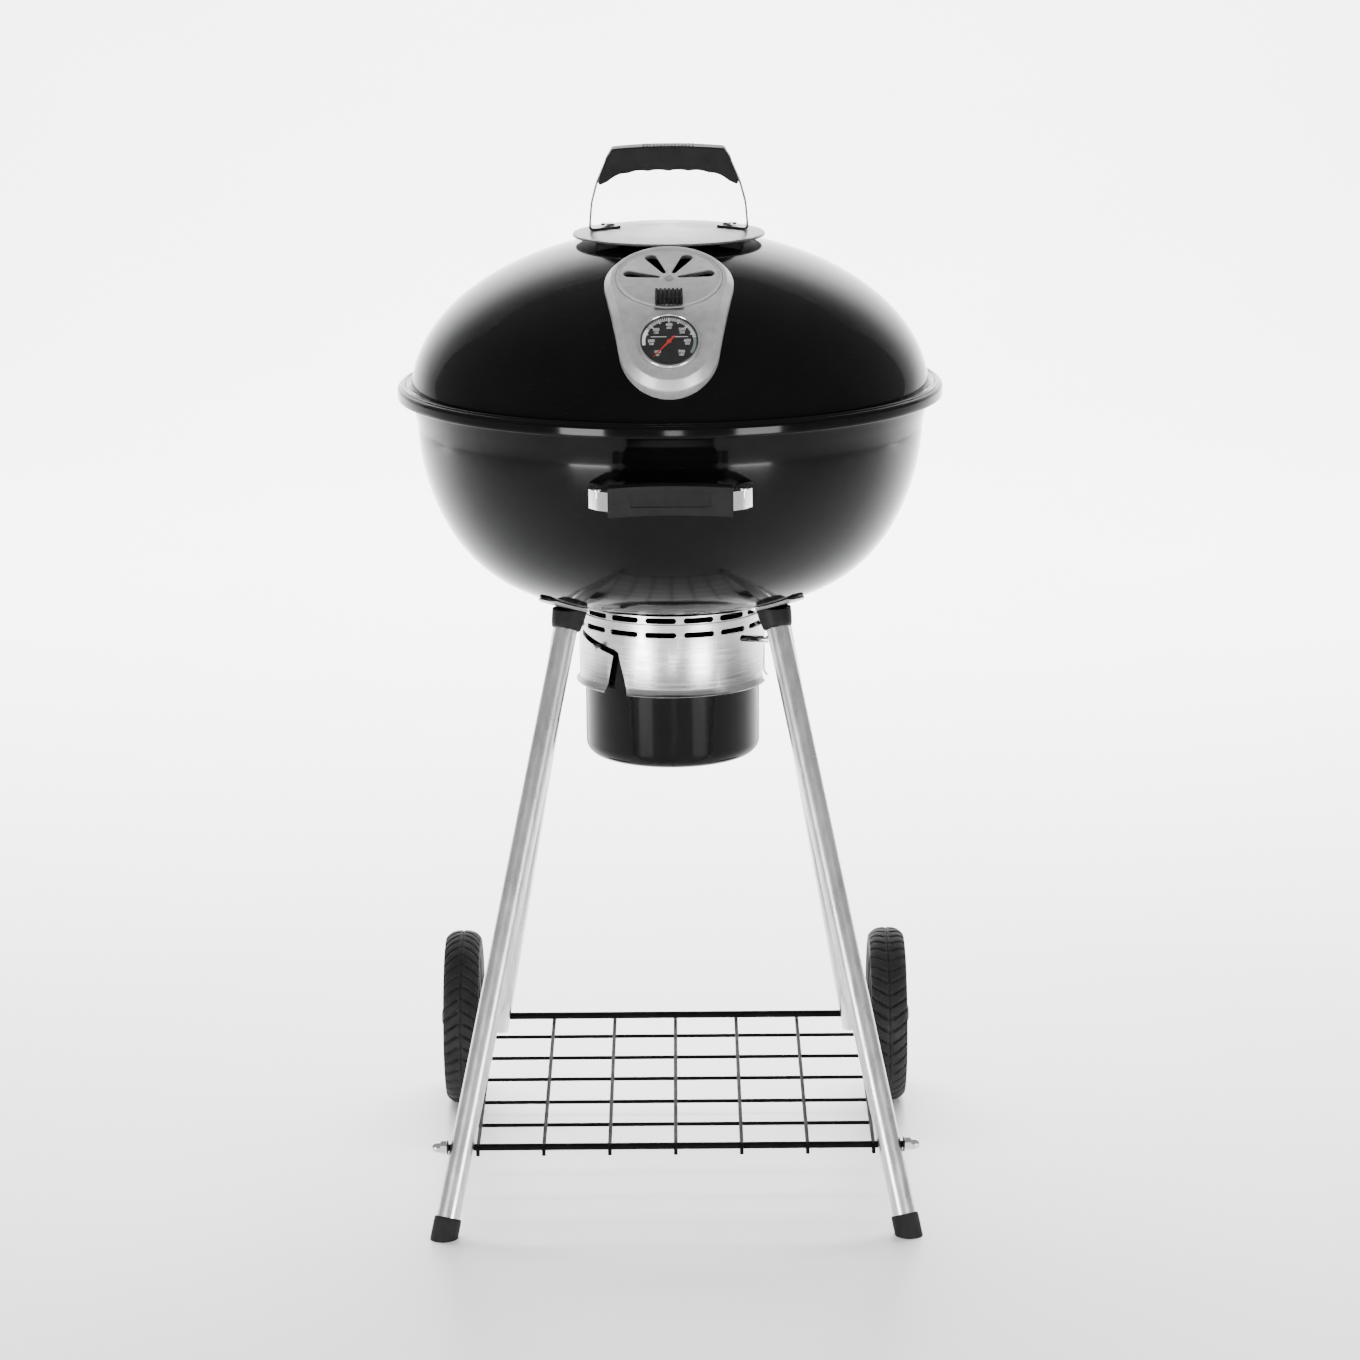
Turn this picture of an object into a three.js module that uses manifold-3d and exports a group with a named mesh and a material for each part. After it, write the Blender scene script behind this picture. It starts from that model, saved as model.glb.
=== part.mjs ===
// Kettle charcoal grill: domed lid on a deep bowl, four splayed tube legs, two wheels,
// a wire shelf, and a bayonet ash catcher hung under an air-slot ring.
// Millimetres, +Z up, the front faces -Y. The origin is the centre of the footprint box, on the floor.
import * as THREE from 'three';
import { mergeVertices } from 'three/addons/utils/BufferGeometryUtils.js';
import Module from 'manifold-3d';

const wasm = await Module();
wasm.setup();

// ---------------------------------------------------------------- driving dimensions
const GAP = 0.3;                     // clearance between pieces that touch
const AXIS_Y = 20.1;                 // the kettle's own axis, behind the footprint centre
const WALL = 1.5;                    // bowl and lid wall
const TURN = Math.PI * 2;
const RIM_SEGMENTS = 32;

// Lid dome, a half ellipse, and its rolled lip
const LID = { radius: 287.1, base: 870.7, rise: 179 };
const LIP = { radius: 301.7, bottom: 869, top: 885, step: 2.2 };
// Bowl, a flat-bottomed super-ellipse
const BOWL = { radius: 279.4, equator: 839.3, depth: 199.8, roundness: 3.87, fullness: 1.75 };
const BOWL_RIM = { radius: 298, top: 876, bottom: 869.5, neck: 285 };
const BOWL_MOUTH = 98;               // radius of the ash opening in the bottom

// Heat shield, its spacers and the lid handle
const SHIELD = { radius: 105, edge: 1048, rise: 9, thickness: 1.5 };
const BAIL = { foot: 88, bolt: 67, width: 28, thickness: 3 };
const SPACER = { width: 23.5, length: 144 };
const BOLT = { shank: 3, hole: 3.4, head: 7.5, headHeight: 3 };

// Vent housing: an upper flat for the damper, a bend, a lower flat for the thermometer
const VENT = { y: -178.8, z: 1021.6, tilt: 25.5, radius: 69, flat: 62 };
const DIAL = { tilt: 49.5, radius: 53, flat: 45.5, distance: 101 };
const HOUSING = { bendStart: 58.5, bendRadius: 14, bevel: 8, wall: 9, plate: 5, depth: 44 };
const DAMPER = { radius: 56.8, recess: 2.2, slotAngles: [-79.5, -26.5, 26.5, 79.5] };
const SLOT = { inner: 12, outer: 43, innerRadius: 1.6, outerRadius: 5.6 };
const KNOB = { width: 32, length: 18, height: 9, distance: 43 };
const BEZEL = { outer: 33.6, inner: 30.8, height: 5 };
const PROBE_RADIUS = 3;

// Air ring and ash pot
const DRUM = { radius: 103.8, wall: 1.2, top: 627.6, bottom: 546.5, flare: 107.5 };
const COLLAR = { radius: 101.8, wall: 1.2, top: 639, bottom: 608.5, flange: 112 };
const AIR_SLOT = { count: 15, width: 19.5, height: 6.5, upper: 633, lower: 616, phase: -7 };
const RAMP = { pinHeight: 597, rise: 0.349, closed: -73.7, open: -38, height: 7.5, pins: [-50, 70, 190] };
const MOUTH = { top: [-38.9, -35.5], bottom: [-45.3, -27.4] };
const POT = { radius: 97.6, wall: 1.5, top: 603, bottom: 462, corner: 16 };
const PIN = { shank: 2.5, head: 4.2, headThickness: 2.5, reach: 112 };

// Legs, shelf and wheels
const TUBE = { radius: 12.7, wall: 1.5 };
const SOCKET = { x: 114, y: 111, z: 637, top: 21, bottom: 16, length: 19, seat: 12 };
const FRONT_FOOT = { x: 251.2, y: -325.5 };
const CAP = { radius: 15.5, height: 30 };
const AXLE = { y: 162, z: 101.6, radius: 4, half: 272 };
const REAR_LEG_X = 207;
const WHEEL = { radius: 101.6, rim: 68, outer: 269.6, width: 42, hubWidth: 34, bore: 4.5 };
const SHELF = { y: -294, z: 92, barRadius: 3.7, wireRadius: 2.1, pitch: 71.4, nutReach: 244 };
const CROSS_WIRES = [110.6, 28.8, -50.5, -133.1, -213.1];

// Front handle and grates
const GRIP = { half: 65.5, z: 809.5, height: 31, front: -333, back: -312 };
const BRACKET = { half: 86.6, height: 20, thickness: 2.5, root: -266 };
const COOKING_GRATE = { radius: 268, z: 838, rods: 11, wire: 5 };
const CHARCOAL_GRATE = { radius: 196, z: 712, rods: 6, wire: 6 };

// ---------------------------------------------------------------- materials
const material = (colour, roughness, metalness) =>
  new THREE.MeshStandardMaterial({ color: colour, roughness, metalness });
const enamel = () => material(0x0b0b0c, 0.12, 0.0);
const stainless = () => material(0xb9babb, 0.32, 1.0);
const castAluminium = () => material(0xa9abad, 0.42, 1.0);
const chrome = () => material(0xd9dadb, 0.12, 1.0);
const blackPlastic = () => material(0x131314, 0.55, 0.0);
const blackWire = () => material(0x17171a, 0.4, 0.2);
const rubber = () => material(0x1c1c1d, 0.85, 0.0);
const castIron = () => material(0x2a2a2b, 0.6, 0.8);

// ---------------------------------------------------------------- solids
function solidOf(geometry) {
  const bare = geometry.clone();
  bare.deleteAttribute('normal');
  bare.deleteAttribute('uv');
  const merged = mergeVertices(bare, 1e-4);
  return new wasm.Manifold(new wasm.Mesh({
    numProp: 3,
    vertProperties: new Float32Array(merged.attributes.position.array),
    triVerts: new Uint32Array(merged.index.array),
  }));
}

function geometryOf(solid) {
  const mesh = solid.getMesh();
  const geometry = new THREE.BufferGeometry();
  geometry.setAttribute('position', new THREE.BufferAttribute(new Float32Array(mesh.vertProperties), 3));
  geometry.setIndex(new THREE.BufferAttribute(new Uint32Array(mesh.triVerts), 1));
  geometry.computeVertexNormals();
  return geometry;
}

const join = (first, ...others) => others.reduce((sum, other) => sum.add(other), first);
const cut = (first, ...others) => others.reduce((rest, other) => rest.subtract(other), first);

const kettle = new THREE.Group();
kettle.position.y = AXIS_Y;

function place(name, shape, surface) {
  const geometry = shape.isBufferGeometry ? shape : geometryOf(shape);
  const mesh = new THREE.Mesh(geometry, surface);
  mesh.name = name;
  kettle.add(mesh);
  return mesh;
}

// A profile of [radius, height] pairs turned about Z; one that starts off the axis is closed on itself
function lathe(profile, segments = RIM_SEGMENTS) {
  const closed = profile[0][0] > 0 ? [...profile, profile[0]] : profile;
  const points = closed.map(([radius, height]) => new THREE.Vector2(radius, height));
  const geometry = new THREE.LatheGeometry(points, segments);
  geometry.rotateX(Math.PI / 2);
  return repaired(geometry);
}

// Merges the seam and the poles of a turned shape into one closed surface facing out
function repaired(geometry) {
  geometry.deleteAttribute('normal');
  geometry.deleteAttribute('uv');
  const merged = mergeVertices(geometry, 1e-4);
  const corners = merged.index.array;
  const kept = [];
  for (let i = 0; i < corners.length; i += 3) {
    const [a, b, c] = [corners[i], corners[i + 1], corners[i + 2]];
    if (a !== b && b !== c && c !== a) kept.push(a, b, c);
  }
  const position = merged.attributes.position;
  const [p, q, r] = [new THREE.Vector3(), new THREE.Vector3(), new THREE.Vector3()];
  let volume = 0;
  for (let i = 0; i < kept.length; i += 3) {
    p.fromBufferAttribute(position, kept[i]);
    q.fromBufferAttribute(position, kept[i + 1]);
    r.fromBufferAttribute(position, kept[i + 2]);
    volume += p.dot(q.cross(r));
  }
  if (volume < 0) kept.reverse();
  merged.setIndex(kept);
  merged.computeVertexNormals();
  return merged;
}

const turned = (profile, segments) => solidOf(lathe(profile, segments));

// A straight bar of round section between two points
function rod(from, to, radius, sides = 12) {
  const start = new THREE.Vector3(...from);
  const end = new THREE.Vector3(...to);
  const along = end.clone().sub(start);
  const geometry = new THREE.CylinderGeometry(radius, radius, along.length(), sides);
  const turn = new THREE.Quaternion().setFromUnitVectors(new THREE.Vector3(0, 1, 0), along.clone().normalize());
  geometry.applyQuaternion(turn);
  geometry.translate(...start.add(end).multiplyScalar(0.5).toArray());
  return solidOf(geometry);
}

function box(width, depth, height, centre) {
  const geometry = new THREE.BoxGeometry(width, depth, height);
  geometry.translate(...centre);
  return solidOf(geometry);
}

function extruded(outline, depth) {
  const shape = new THREE.Shape(outline.map(([x, y]) => new THREE.Vector2(x, y)));
  return new THREE.ExtrudeGeometry(shape, { depth, bevelEnabled: false, curveSegments: 8 });
}

// Points of a round arc, both ends included
function arc(cx, cy, radius, fromDegrees, toDegrees, steps) {
  return Array.from({ length: steps + 1 }, (_, i) => {
    const angle = THREE.MathUtils.degToRad(fromDegrees + ((toDegrees - fromDegrees) * i) / steps);
    return [cx + radius * Math.cos(angle), cy + radius * Math.sin(angle)];
  });
}

// ---------------------------------------------------------------- bowl and lid profiles
const lidHeight = (radius, offset = 0) =>
  LID.base + (LID.rise + offset) * Math.sqrt(1 - (radius / (LID.radius + offset)) ** 2);

function lidArc(offset, steps) {
  const lastHeight = LIP.top - 3;
  const last = Math.asin((lastHeight - LID.base) / (LID.rise + offset));
  return Array.from({ length: steps + 1 }, (_, i) => {
    const angle = Math.PI / 2 + ((last - Math.PI / 2) * i) / steps;
    return [(LID.radius + offset) * Math.cos(angle), LID.base + (LID.rise + offset) * Math.sin(angle)];
  }).map(([radius, height], i) => [i === 0 ? 0 : radius, height]);
}

function bowlRadius(height, offset = 0) {
  const depth = BOWL.depth + offset;
  const drop = Math.min((BOWL.equator - height) / depth, 1);
  return (BOWL.radius + offset) * (1 - drop ** BOWL.fullness) ** (1 / BOWL.roundness);
}

function bowlHeight(radius, offset = 0) {
  const share = radius / (BOWL.radius + offset);
  return BOWL.equator - (BOWL.depth + offset) * (1 - share ** BOWL.roundness) ** (1 / BOWL.fullness);
}

function bowlArc(offset, steps) {
  const flatEnd = 190;
  const flat = Array.from({ length: 2 }, (_, i) => {
    const radius = BOWL_MOUTH + ((flatEnd - BOWL_MOUTH) * i) / 2;
    return [radius, bowlHeight(radius, offset)];
  });
  const low = bowlHeight(flatEnd, offset);
  const wall = Array.from({ length: steps + 1 }, (_, i) => {
    const height = low + (BOWL.equator - low) * (i / steps) ** 1.4;
    return [bowlRadius(height, offset), height];
  });
  return [...flat, ...wall];
}

// ---------------------------------------------------------------- lid
const ventTurn = new THREE.Matrix4().makeRotationX(THREE.MathUtils.degToRad(VENT.tilt));
ventTurn.setPosition(0, VENT.y, VENT.z);

// A point on the housing's top surface, at a distance down from the damper's centre
function housingPath(distance) {
  const direction = (degrees) => {
    const angle = THREE.MathUtils.degToRad(degrees);
    return [-Math.cos(angle), -Math.sin(angle)];
  };
  const along = ([y, z], degrees, length) => {
    const [dy, dz] = direction(degrees);
    return [y + dy * length, z + dz * length];
  };
  const sweep = DIAL.tilt - VENT.tilt;
  const arcLength = THREE.MathUtils.degToRad(sweep) * HOUSING.bendRadius;
  if (distance <= HOUSING.bendStart) return along([VENT.y, VENT.z], VENT.tilt, distance);
  let point = along([VENT.y, VENT.z], VENT.tilt, HOUSING.bendStart);
  const past = distance - HOUSING.bendStart;
  const turnedBy = sweep * Math.min(past / arcLength, 1);
  const half = THREE.MathUtils.degToRad(turnedBy / 2);
  point = along(point, VENT.tilt + turnedBy / 2, 2 * HOUSING.bendRadius * Math.sin(half));
  return past > arcLength ? along(point, DIAL.tilt, past - arcLength) : point;
}

const [dialY, dialZ] = housingPath(DIAL.distance);
const dialTurn = new THREE.Matrix4().makeRotationX(THREE.MathUtils.degToRad(DIAL.tilt));
dialTurn.setPosition(0, dialY, dialZ);

// Right half of the teardrop outline as [half width, distance], from its top to its bottom
function teardrop(upper, lower) {
  const lean = Math.asin((upper - lower) / DIAL.distance);
  const top = Array.from({ length: 11 }, (_, i) => {
    const angle = -Math.PI / 2 + ((lean + Math.PI / 2) * i) / 10;
    return [upper * Math.cos(angle), upper * Math.sin(angle)];
  });
  const bottom = Array.from({ length: 9 }, (_, i) => {
    const angle = lean + ((Math.PI / 2 - lean) * i) / 8;
    return [lower * Math.cos(angle), DIAL.distance + lower * Math.sin(angle)];
  });
  const [, from] = top[top.length - 1];
  const widthAt = (distance) => {
    const share = (distance - from) / (bottom[0][1] - from);
    return top[top.length - 1][0] + (bottom[0][0] - top[top.length - 1][0]) * share;
  };
  const bends = [HOUSING.bendStart, HOUSING.bendStart + 2.9, HOUSING.bendStart + 5.9];
  const sides = bends.map((distance) => [widthAt(distance), distance]);
  const outline = [...top, ...sides, ...bottom];
  outline[0][0] = 0;
  outline[outline.length - 1][0] = 0;
  return outline;
}

// A body with a bent top: levels of [outline, height], joined level to level and capped
function bentPrism(levels) {
  const mean = THREE.MathUtils.degToRad((VENT.tilt + DIAL.tilt) / 2);
  const positions = [];
  const count = levels[0][0].length;
  for (const [outline, height] of levels) {
    for (const side of [1, -1]) {
      for (const [half, distance] of outline) {
        const [y, z] = housingPath(distance);
        positions.push(side * half, y - Math.sin(mean) * height, z + Math.cos(mean) * height);
      }
    }
  }
  const vertex = (level, side, i) => level * 2 * count + side * count + i;
  const corners = [];
  const quad = (a, b, c, d) => corners.push(a, b, c, a, c, d);
  for (let i = 0; i < count - 1; i += 1) {
    const last = levels.length - 1;
    quad(vertex(last, 1, i), vertex(last, 1, i + 1), vertex(last, 0, i + 1), vertex(last, 0, i));
    quad(vertex(0, 0, i), vertex(0, 0, i + 1), vertex(0, 1, i + 1), vertex(0, 1, i));
    for (let level = 0; level < last; level += 1) {
      quad(vertex(level, 1, i), vertex(level, 1, i + 1), vertex(level + 1, 1, i + 1), vertex(level + 1, 1, i));
      quad(vertex(level, 0, i + 1), vertex(level, 0, i), vertex(level + 1, 0, i), vertex(level + 1, 0, i + 1));
    }
  }
  const geometry = new THREE.BufferGeometry();
  geometry.setAttribute('position', new THREE.BufferAttribute(new Float32Array(positions), 3));
  geometry.setIndex(corners);
  return solidOf(repaired(geometry));
}

// A teardrop-shaped air slot, pointing from the rivet to the damper's edge
function slotCutter(degrees, low, high) {
  const outline = [
    ...arc(0, SLOT.outer, SLOT.outerRadius, -8, 188, 8),
    ...arc(0, SLOT.inner, SLOT.innerRadius, 188, 352, 3),
  ];
  const geometry = extruded(outline, high - low);
  geometry.translate(0, 0, low);
  geometry.rotateZ(THREE.MathUtils.degToRad(degrees));
  return geometry;
}

const tilted = (geometry, matrix) => solidOf(geometry.clone().applyMatrix4(matrix));
const ring = (profile, segments = 32) => lathe(profile, segments);
const disc = (radius, low, high, segments = 32) => ring([[0, low], [radius, low], [radius, high], [0, high]], segments);

function lidSolid() {
  const outer = lidArc(0, 8);
  const inner = lidArc(-WALL, 6).reverse();
  const lip = [
    [LIP.radius - 7, LIP.top - 1.5],
    [LIP.radius - 3, LIP.top - 3],
    [LIP.radius - 2, LIP.top - 5.5],
    [LIP.radius, LIP.top - 8],
    [LIP.radius, LIP.bottom + 3],
    [LIP.radius - 1, LIP.bottom],
    [LIP.radius - 3, LIP.bottom],
    [LIP.radius - 3, LIP.top - 8.2],
  ];
  return turned([...outer, ...lip, ...inner]);
}

function filledLid(offset) {
  return turned([...lidArc(offset, 8), [0, LIP.top - 3]]);
}

function shieldHeight(radius) {
  return SHIELD.edge + SHIELD.rise * (1 - (radius / SHIELD.radius) ** 2);
}

function shieldProfile(drop, reach) {
  const stations = [0, 0.4, 0.75, 1].map((share) => share * reach);
  return stations.map((radius) => [radius, shieldHeight(radius) - drop]);
}

const boltHole = (side, low, high) =>
  rod([side * BAIL.bolt, 0, low], [side * BAIL.bolt, 0, high], BOLT.hole, 10);

function heatShield() {
  const top = shieldProfile(0, SHIELD.radius);
  const under = shieldProfile(SHIELD.thickness, SHIELD.radius - 1).reverse();
  const edge = [[SHIELD.radius + 0.6, SHIELD.edge - 2], [SHIELD.radius - 0.6, SHIELD.edge - 3.2]];
  const plate = turned([...top, ...edge, ...under]);
  return cut(plate, boltHole(1, SHIELD.edge, SHIELD.edge + 20), boltHole(-1, SHIELD.edge, SHIELD.edge + 20));
}

function spacer(side) {
  const block = box(SPACER.width, SPACER.length, 30, [side * BAIL.bolt, 0, SHIELD.edge]);
  const above = turned([...shieldProfile(SHIELD.thickness + GAP, SHIELD.radius), [SHIELD.radius, 1090], [0, 1090]]);
  const rimRelief = turned([
    [SHIELD.radius - 4, 1090], [SHIELD.radius - 4, SHIELD.edge - 4],
    [SHIELD.radius + 4, SHIELD.edge - 4], [SHIELD.radius + 4, 1090],
  ]);
  return cut(block, above, rimRelief, filledLid(GAP), boltHole(side, 1000, 1090));
}

// The bail's side view as [x, z]: foot on the shield, post bowing inward, crown under the grip
function bailOutline(inset) {
  const right = [
    [BAIL.bolt - 14, 1057 + inset],
    [BAIL.foot - 2.5 - inset, 1057 + inset],
    [BAIL.foot - inset, 1060 + inset],
    [86 - inset, 1080],
    [81 - inset, 1100],
    [74 - inset, 1120],
    [67 - inset, 1133 - inset],
  ];
  return right;
}

function handleStrap() {
  const outer = bailOutline(0);
  const inner = bailOutline(BAIL.thickness).reverse();
  const mirrored = (points) => points.map(([x, z]) => [-x, z]).reverse();
  const outline = [...outer, ...mirrored(outer), ...mirrored(inner), ...inner];
  const geometry = extruded(outline, BAIL.width);
  geometry.rotateX(Math.PI / 2);
  geometry.translate(0, BAIL.width / 2, 0);
  return cut(solidOf(geometry), boltHole(1, 1050, 1070), boltHole(-1, 1050, 1070));
}

function handleGrip() {
  const top = arc(0, 1141.5 - 640, 640, 95.4, 84.6, 6).map(([x, z]) => [x, z + 3]);
  const right = [[63, 1140], [69, 1128], [76.5, 1103]];
  const scallops = Array.from({ length: 13 }, (_, i) => {
    const x = 66 - i * 11;
    return [x, 1117.5 - (x / 66) ** 4 * 12 + (i % 2 ? 1.1 : -1.1)];
  });
  const left = right.map(([x, z]) => [-x, z]).reverse();
  const geometry = extruded([...top.reverse(), ...left.reverse(), ...scallops.reverse(), ...right.reverse()], 36);
  geometry.rotateX(Math.PI / 2);
  geometry.translate(0, 18, 0);
  const channel = extruded([
    [-67.6, 1134], [67.6, 1134], [74.8, 1120.2], [84, 1095], [77, 1095], [63.2, 1129.2],
    [-63.2, 1129.2], [-77, 1095], [-84, 1095], [-74.8, 1120.2],
  ], BAIL.width + 2 * GAP);
  channel.rotateX(Math.PI / 2);
  channel.translate(0, BAIL.width / 2 + GAP, 0);
  return cut(solidOf(geometry), solidOf(channel));
}

function bolt(side) {
  const x = side * BAIL.bolt;
  const headLow = 1057 + BAIL.thickness + GAP;
  const head = rod([x, 0, headLow], [x, 0, headLow + BOLT.headHeight], BOLT.head, 16);
  return join(head, rod([x, 0, 1046.5], [x, 0, headLow + 1], BOLT.shank, 10));
}

place('lid_shell', cut(
  lidSolid(),
  tilted(disc(47, -60, 20), ventTurn),
  tilted(disc(5, -60, 20, 12), dialTurn),
  boltHole(1, 1030, 1060),
  boltHole(-1, 1030, 1060),
), enamel());
place('heat_shield_disc', heatShield(), stainless());
place('shield_spacer_left', spacer(-1), blackPlastic());
place('shield_spacer_right', spacer(1), blackPlastic());
place('lid_handle_strap', handleStrap(), stainless());
place('lid_handle_grip', handleGrip(), blackPlastic());
place('lid_handle_bolt_left', bolt(-1), chrome());
place('lid_handle_bolt_right', bolt(1), chrome());

function ventHousing() {
  const base = teardrop(VENT.radius, DIAL.radius);
  const face = teardrop(VENT.flat, DIAL.flat);
  const inside = teardrop(VENT.radius - HOUSING.wall, DIAL.radius - HOUSING.wall);
  const shell = bentPrism([[base, -HOUSING.depth], [base, -HOUSING.bevel], [face, 0]]);
  const hollow = bentPrism([[inside, -HOUSING.depth - 5], [inside, -HOUSING.plate - 1]]);
  const slots = DAMPER.slotAngles.map((degrees) => tilted(slotCutter(degrees, -12, 5), ventTurn));
  return cut(
    shell,
    hollow,
    filledLid(GAP),
    tilted(disc(DAMPER.radius + 0.5, -DAMPER.recess, 10, 32), ventTurn),
    tilted(disc(2.9, -12, 10, 12), ventTurn),
    tilted(disc(PROBE_RADIUS + 0.6, -20, 10, 12), dialTurn),
    ...slots,
  );
}

function damper() {
  const low = -DAMPER.recess + GAP;
  const plate = solidOf(disc(DAMPER.radius, low, low + 2.2, 32));
  const slots = DAMPER.slotAngles.map((degrees) => solidOf(slotCutter(degrees, low - 1, low + 4)));
  return geometryOf(cut(plate, ...slots, solidOf(disc(3.1, low - 1, low + 4, 12))));
}

function damperKnob() {
  const low = 0.6;
  const body = box(KNOB.width - 3, KNOB.length, KNOB.height, [0, -KNOB.distance, low + KNOB.height / 2]);
  const ribs = Array.from({ length: 7 }, (_, i) => {
    const x = (i - 3) * 4.4;
    return rod([x, -KNOB.distance - KNOB.length / 2 - 0.6, low + KNOB.height - 0.6],
      [x, -KNOB.distance + KNOB.length / 2 + 0.6, low + KNOB.height - 0.6], 1.6, 6);
  });
  return geometryOf(join(body, ...ribs));
}

function placeTilted(name, geometry, matrix, surface) {
  const mesh = place(name, geometry, surface);
  mesh.applyMatrix4(matrix);
}

place('vent_housing', ventHousing(), castAluminium());
placeTilted('vent_damper', damper(), ventTurn, castAluminium());
placeTilted('damper_knob', damperKnob(), ventTurn, blackPlastic());
placeTilted('damper_rivet', ring([[0, -7], [2.4, -7], [2.4, 0.7], [5, 0.7], [4, 2.4], [0, 3]], 16), ventTurn, chrome());

// Thermometer: bezel, dial plate, pointer, glass and probe
placeTilted('thermometer_bezel', ring([
  [BEZEL.inner, GAP], [BEZEL.outer, GAP], [BEZEL.outer, BEZEL.height - 2],
  [BEZEL.outer - 2, BEZEL.height], [BEZEL.inner, BEZEL.height],
], 24), dialTurn, chrome());
placeTilted('thermometer_dial', disc(BEZEL.inner - GAP - 0.3, 0.5, 1.5, 24), dialTurn, material(0x1d1d1e, 0.5, 0));
function pointer() {
  const needle = extruded([[-1.1, -8], [1.1, -8], [1.3, 0], [0.3, 26], [-0.3, 26], [-1.3, 0]], 0.7);
  needle.translate(0, 0, 1.9);
  const hub = disc(2.4, 1.9, 2.9, 16);
  const geometry = geometryOf(join(solidOf(needle), solidOf(hub)));
  geometry.rotateZ(THREE.MathUtils.degToRad(139));
  return geometry;
}
placeTilted('thermometer_needle', pointer(), dialTurn, material(0xb01c14, 0.5, 0));
placeTilted('thermometer_glass', disc(BEZEL.inner - GAP - 0.3, 3.3, 4.3, 24), dialTurn, material(0xeef2f4, 0.05, 0));
placeTilted('thermometer_probe', ring([[0, -75], [PROBE_RADIUS, -73], [PROBE_RADIUS, 0.1], [0, 0.1]], 12),
  dialTurn, stainless());

// ---------------------------------------------------------------- bowl
const quarterTurns = [45, 135, 225, 315];

function ledges(radius, height, length) {
  return quarterTurns.map((degrees) => {
    const geometry = new THREE.BoxGeometry(length, 16, 3);
    geometry.translate(radius, 0, height);
    geometry.rotateZ(THREE.MathUtils.degToRad(degrees));
    return solidOf(geometry);
  });
}

function bowlSolid() {
  const outer = bowlArc(0, 6);
  const inner = bowlArc(-WALL, 6).reverse();
  const rim = [
    [BOWL_RIM.neck - 1.5, BOWL_RIM.bottom - 14],
    [BOWL_RIM.neck, BOWL_RIM.bottom - 4],
    [BOWL_RIM.neck + 3, BOWL_RIM.bottom],
    [BOWL_RIM.radius - 1.5, BOWL_RIM.bottom],
    [BOWL_RIM.radius, BOWL_RIM.bottom + 2],
    [BOWL_RIM.radius - 1.5, BOWL_RIM.top - 1.2],
    [BOWL_RIM.neck + 4, BOWL_RIM.top],
    [BOWL_RIM.neck - WALL, BOWL_RIM.top - 3],
    [BOWL_RIM.neck - WALL - 1.5, BOWL_RIM.bottom - 14],
  ];
  const shell = turned([...outer, ...rim, ...inner]);
  const cookingLedges = ledges(COOKING_GRATE.radius + 3, COOKING_GRATE.z - 5, 16);
  const charcoalLedges = ledges(CHARCOAL_GRATE.radius + 20, CHARCOAL_GRATE.z - 5.5, 46);
  const outside = turned([
    [0, 500], [400, 500], [400, 900], [BOWL.radius - 0.5, 900], ...bowlArc(-0.5, 6).reverse(), [0, bowlHeight(0, -0.5)],
  ]);
  const kept = [...cookingLedges, ...charcoalLedges].map((ledge) => cut(ledge, outside));
  return join(shell, ...kept);
}

place('bowl_shell', bowlSolid(), enamel());

function grate({ radius, z, rods, wire }, name) {
  const half = wire / 2;
  const hoop = turned([
    [radius - wire, z - half], [radius, z - half], [radius, z + half], [radius - wire, z + half],
  ], 24);
  const spacing = (2 * (radius - wire)) / (rods + 1);
  const bars = Array.from({ length: rods }, (_, i) => {
    const x = (i - (rods - 1) / 2) * spacing;
    const length = 2 * Math.sqrt((radius - half) ** 2 - x * x);
    return box(wire, length - wire, wire, [x, 0, z + 0.4]);
  });
  const ties = [-1, 1].map((side) => {
    const y = side * radius * 0.45;
    const length = 2 * Math.sqrt((radius - half) ** 2 - y * y);
    return box(length - wire, wire, wire, [0, y, z - half]);
  });
  place(name, join(hoop, ...bars, ...ties), castIron());
}
grate(COOKING_GRATE, 'cooking_grate');
grate(CHARCOAL_GRATE, 'charcoal_grate');

// ---------------------------------------------------------------- front handle
function gripFront() {
  const { half, z, height, front, back } = GRIP;
  const arch = (x) => -2.5 * (x / half) ** 2;
  const stations = [-1, -0.6, -0.2, 0.2, 0.6, 1].map((share) => share * half);
  const upper = stations.map((x) => [x, z + height / 2 + arch(x)]);
  const lower = stations.map((x) => [x, z - height / 2 + arch(x)]).reverse();
  const body = extruded([...upper, ...lower].reverse(), back - front);
  body.rotateX(Math.PI / 2);
  body.translate(0, back, 0);
  const recess = box(84, 2, 15, [0, front, z + 0.5]);
  return cut(solidOf(body), recess);
}

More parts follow.
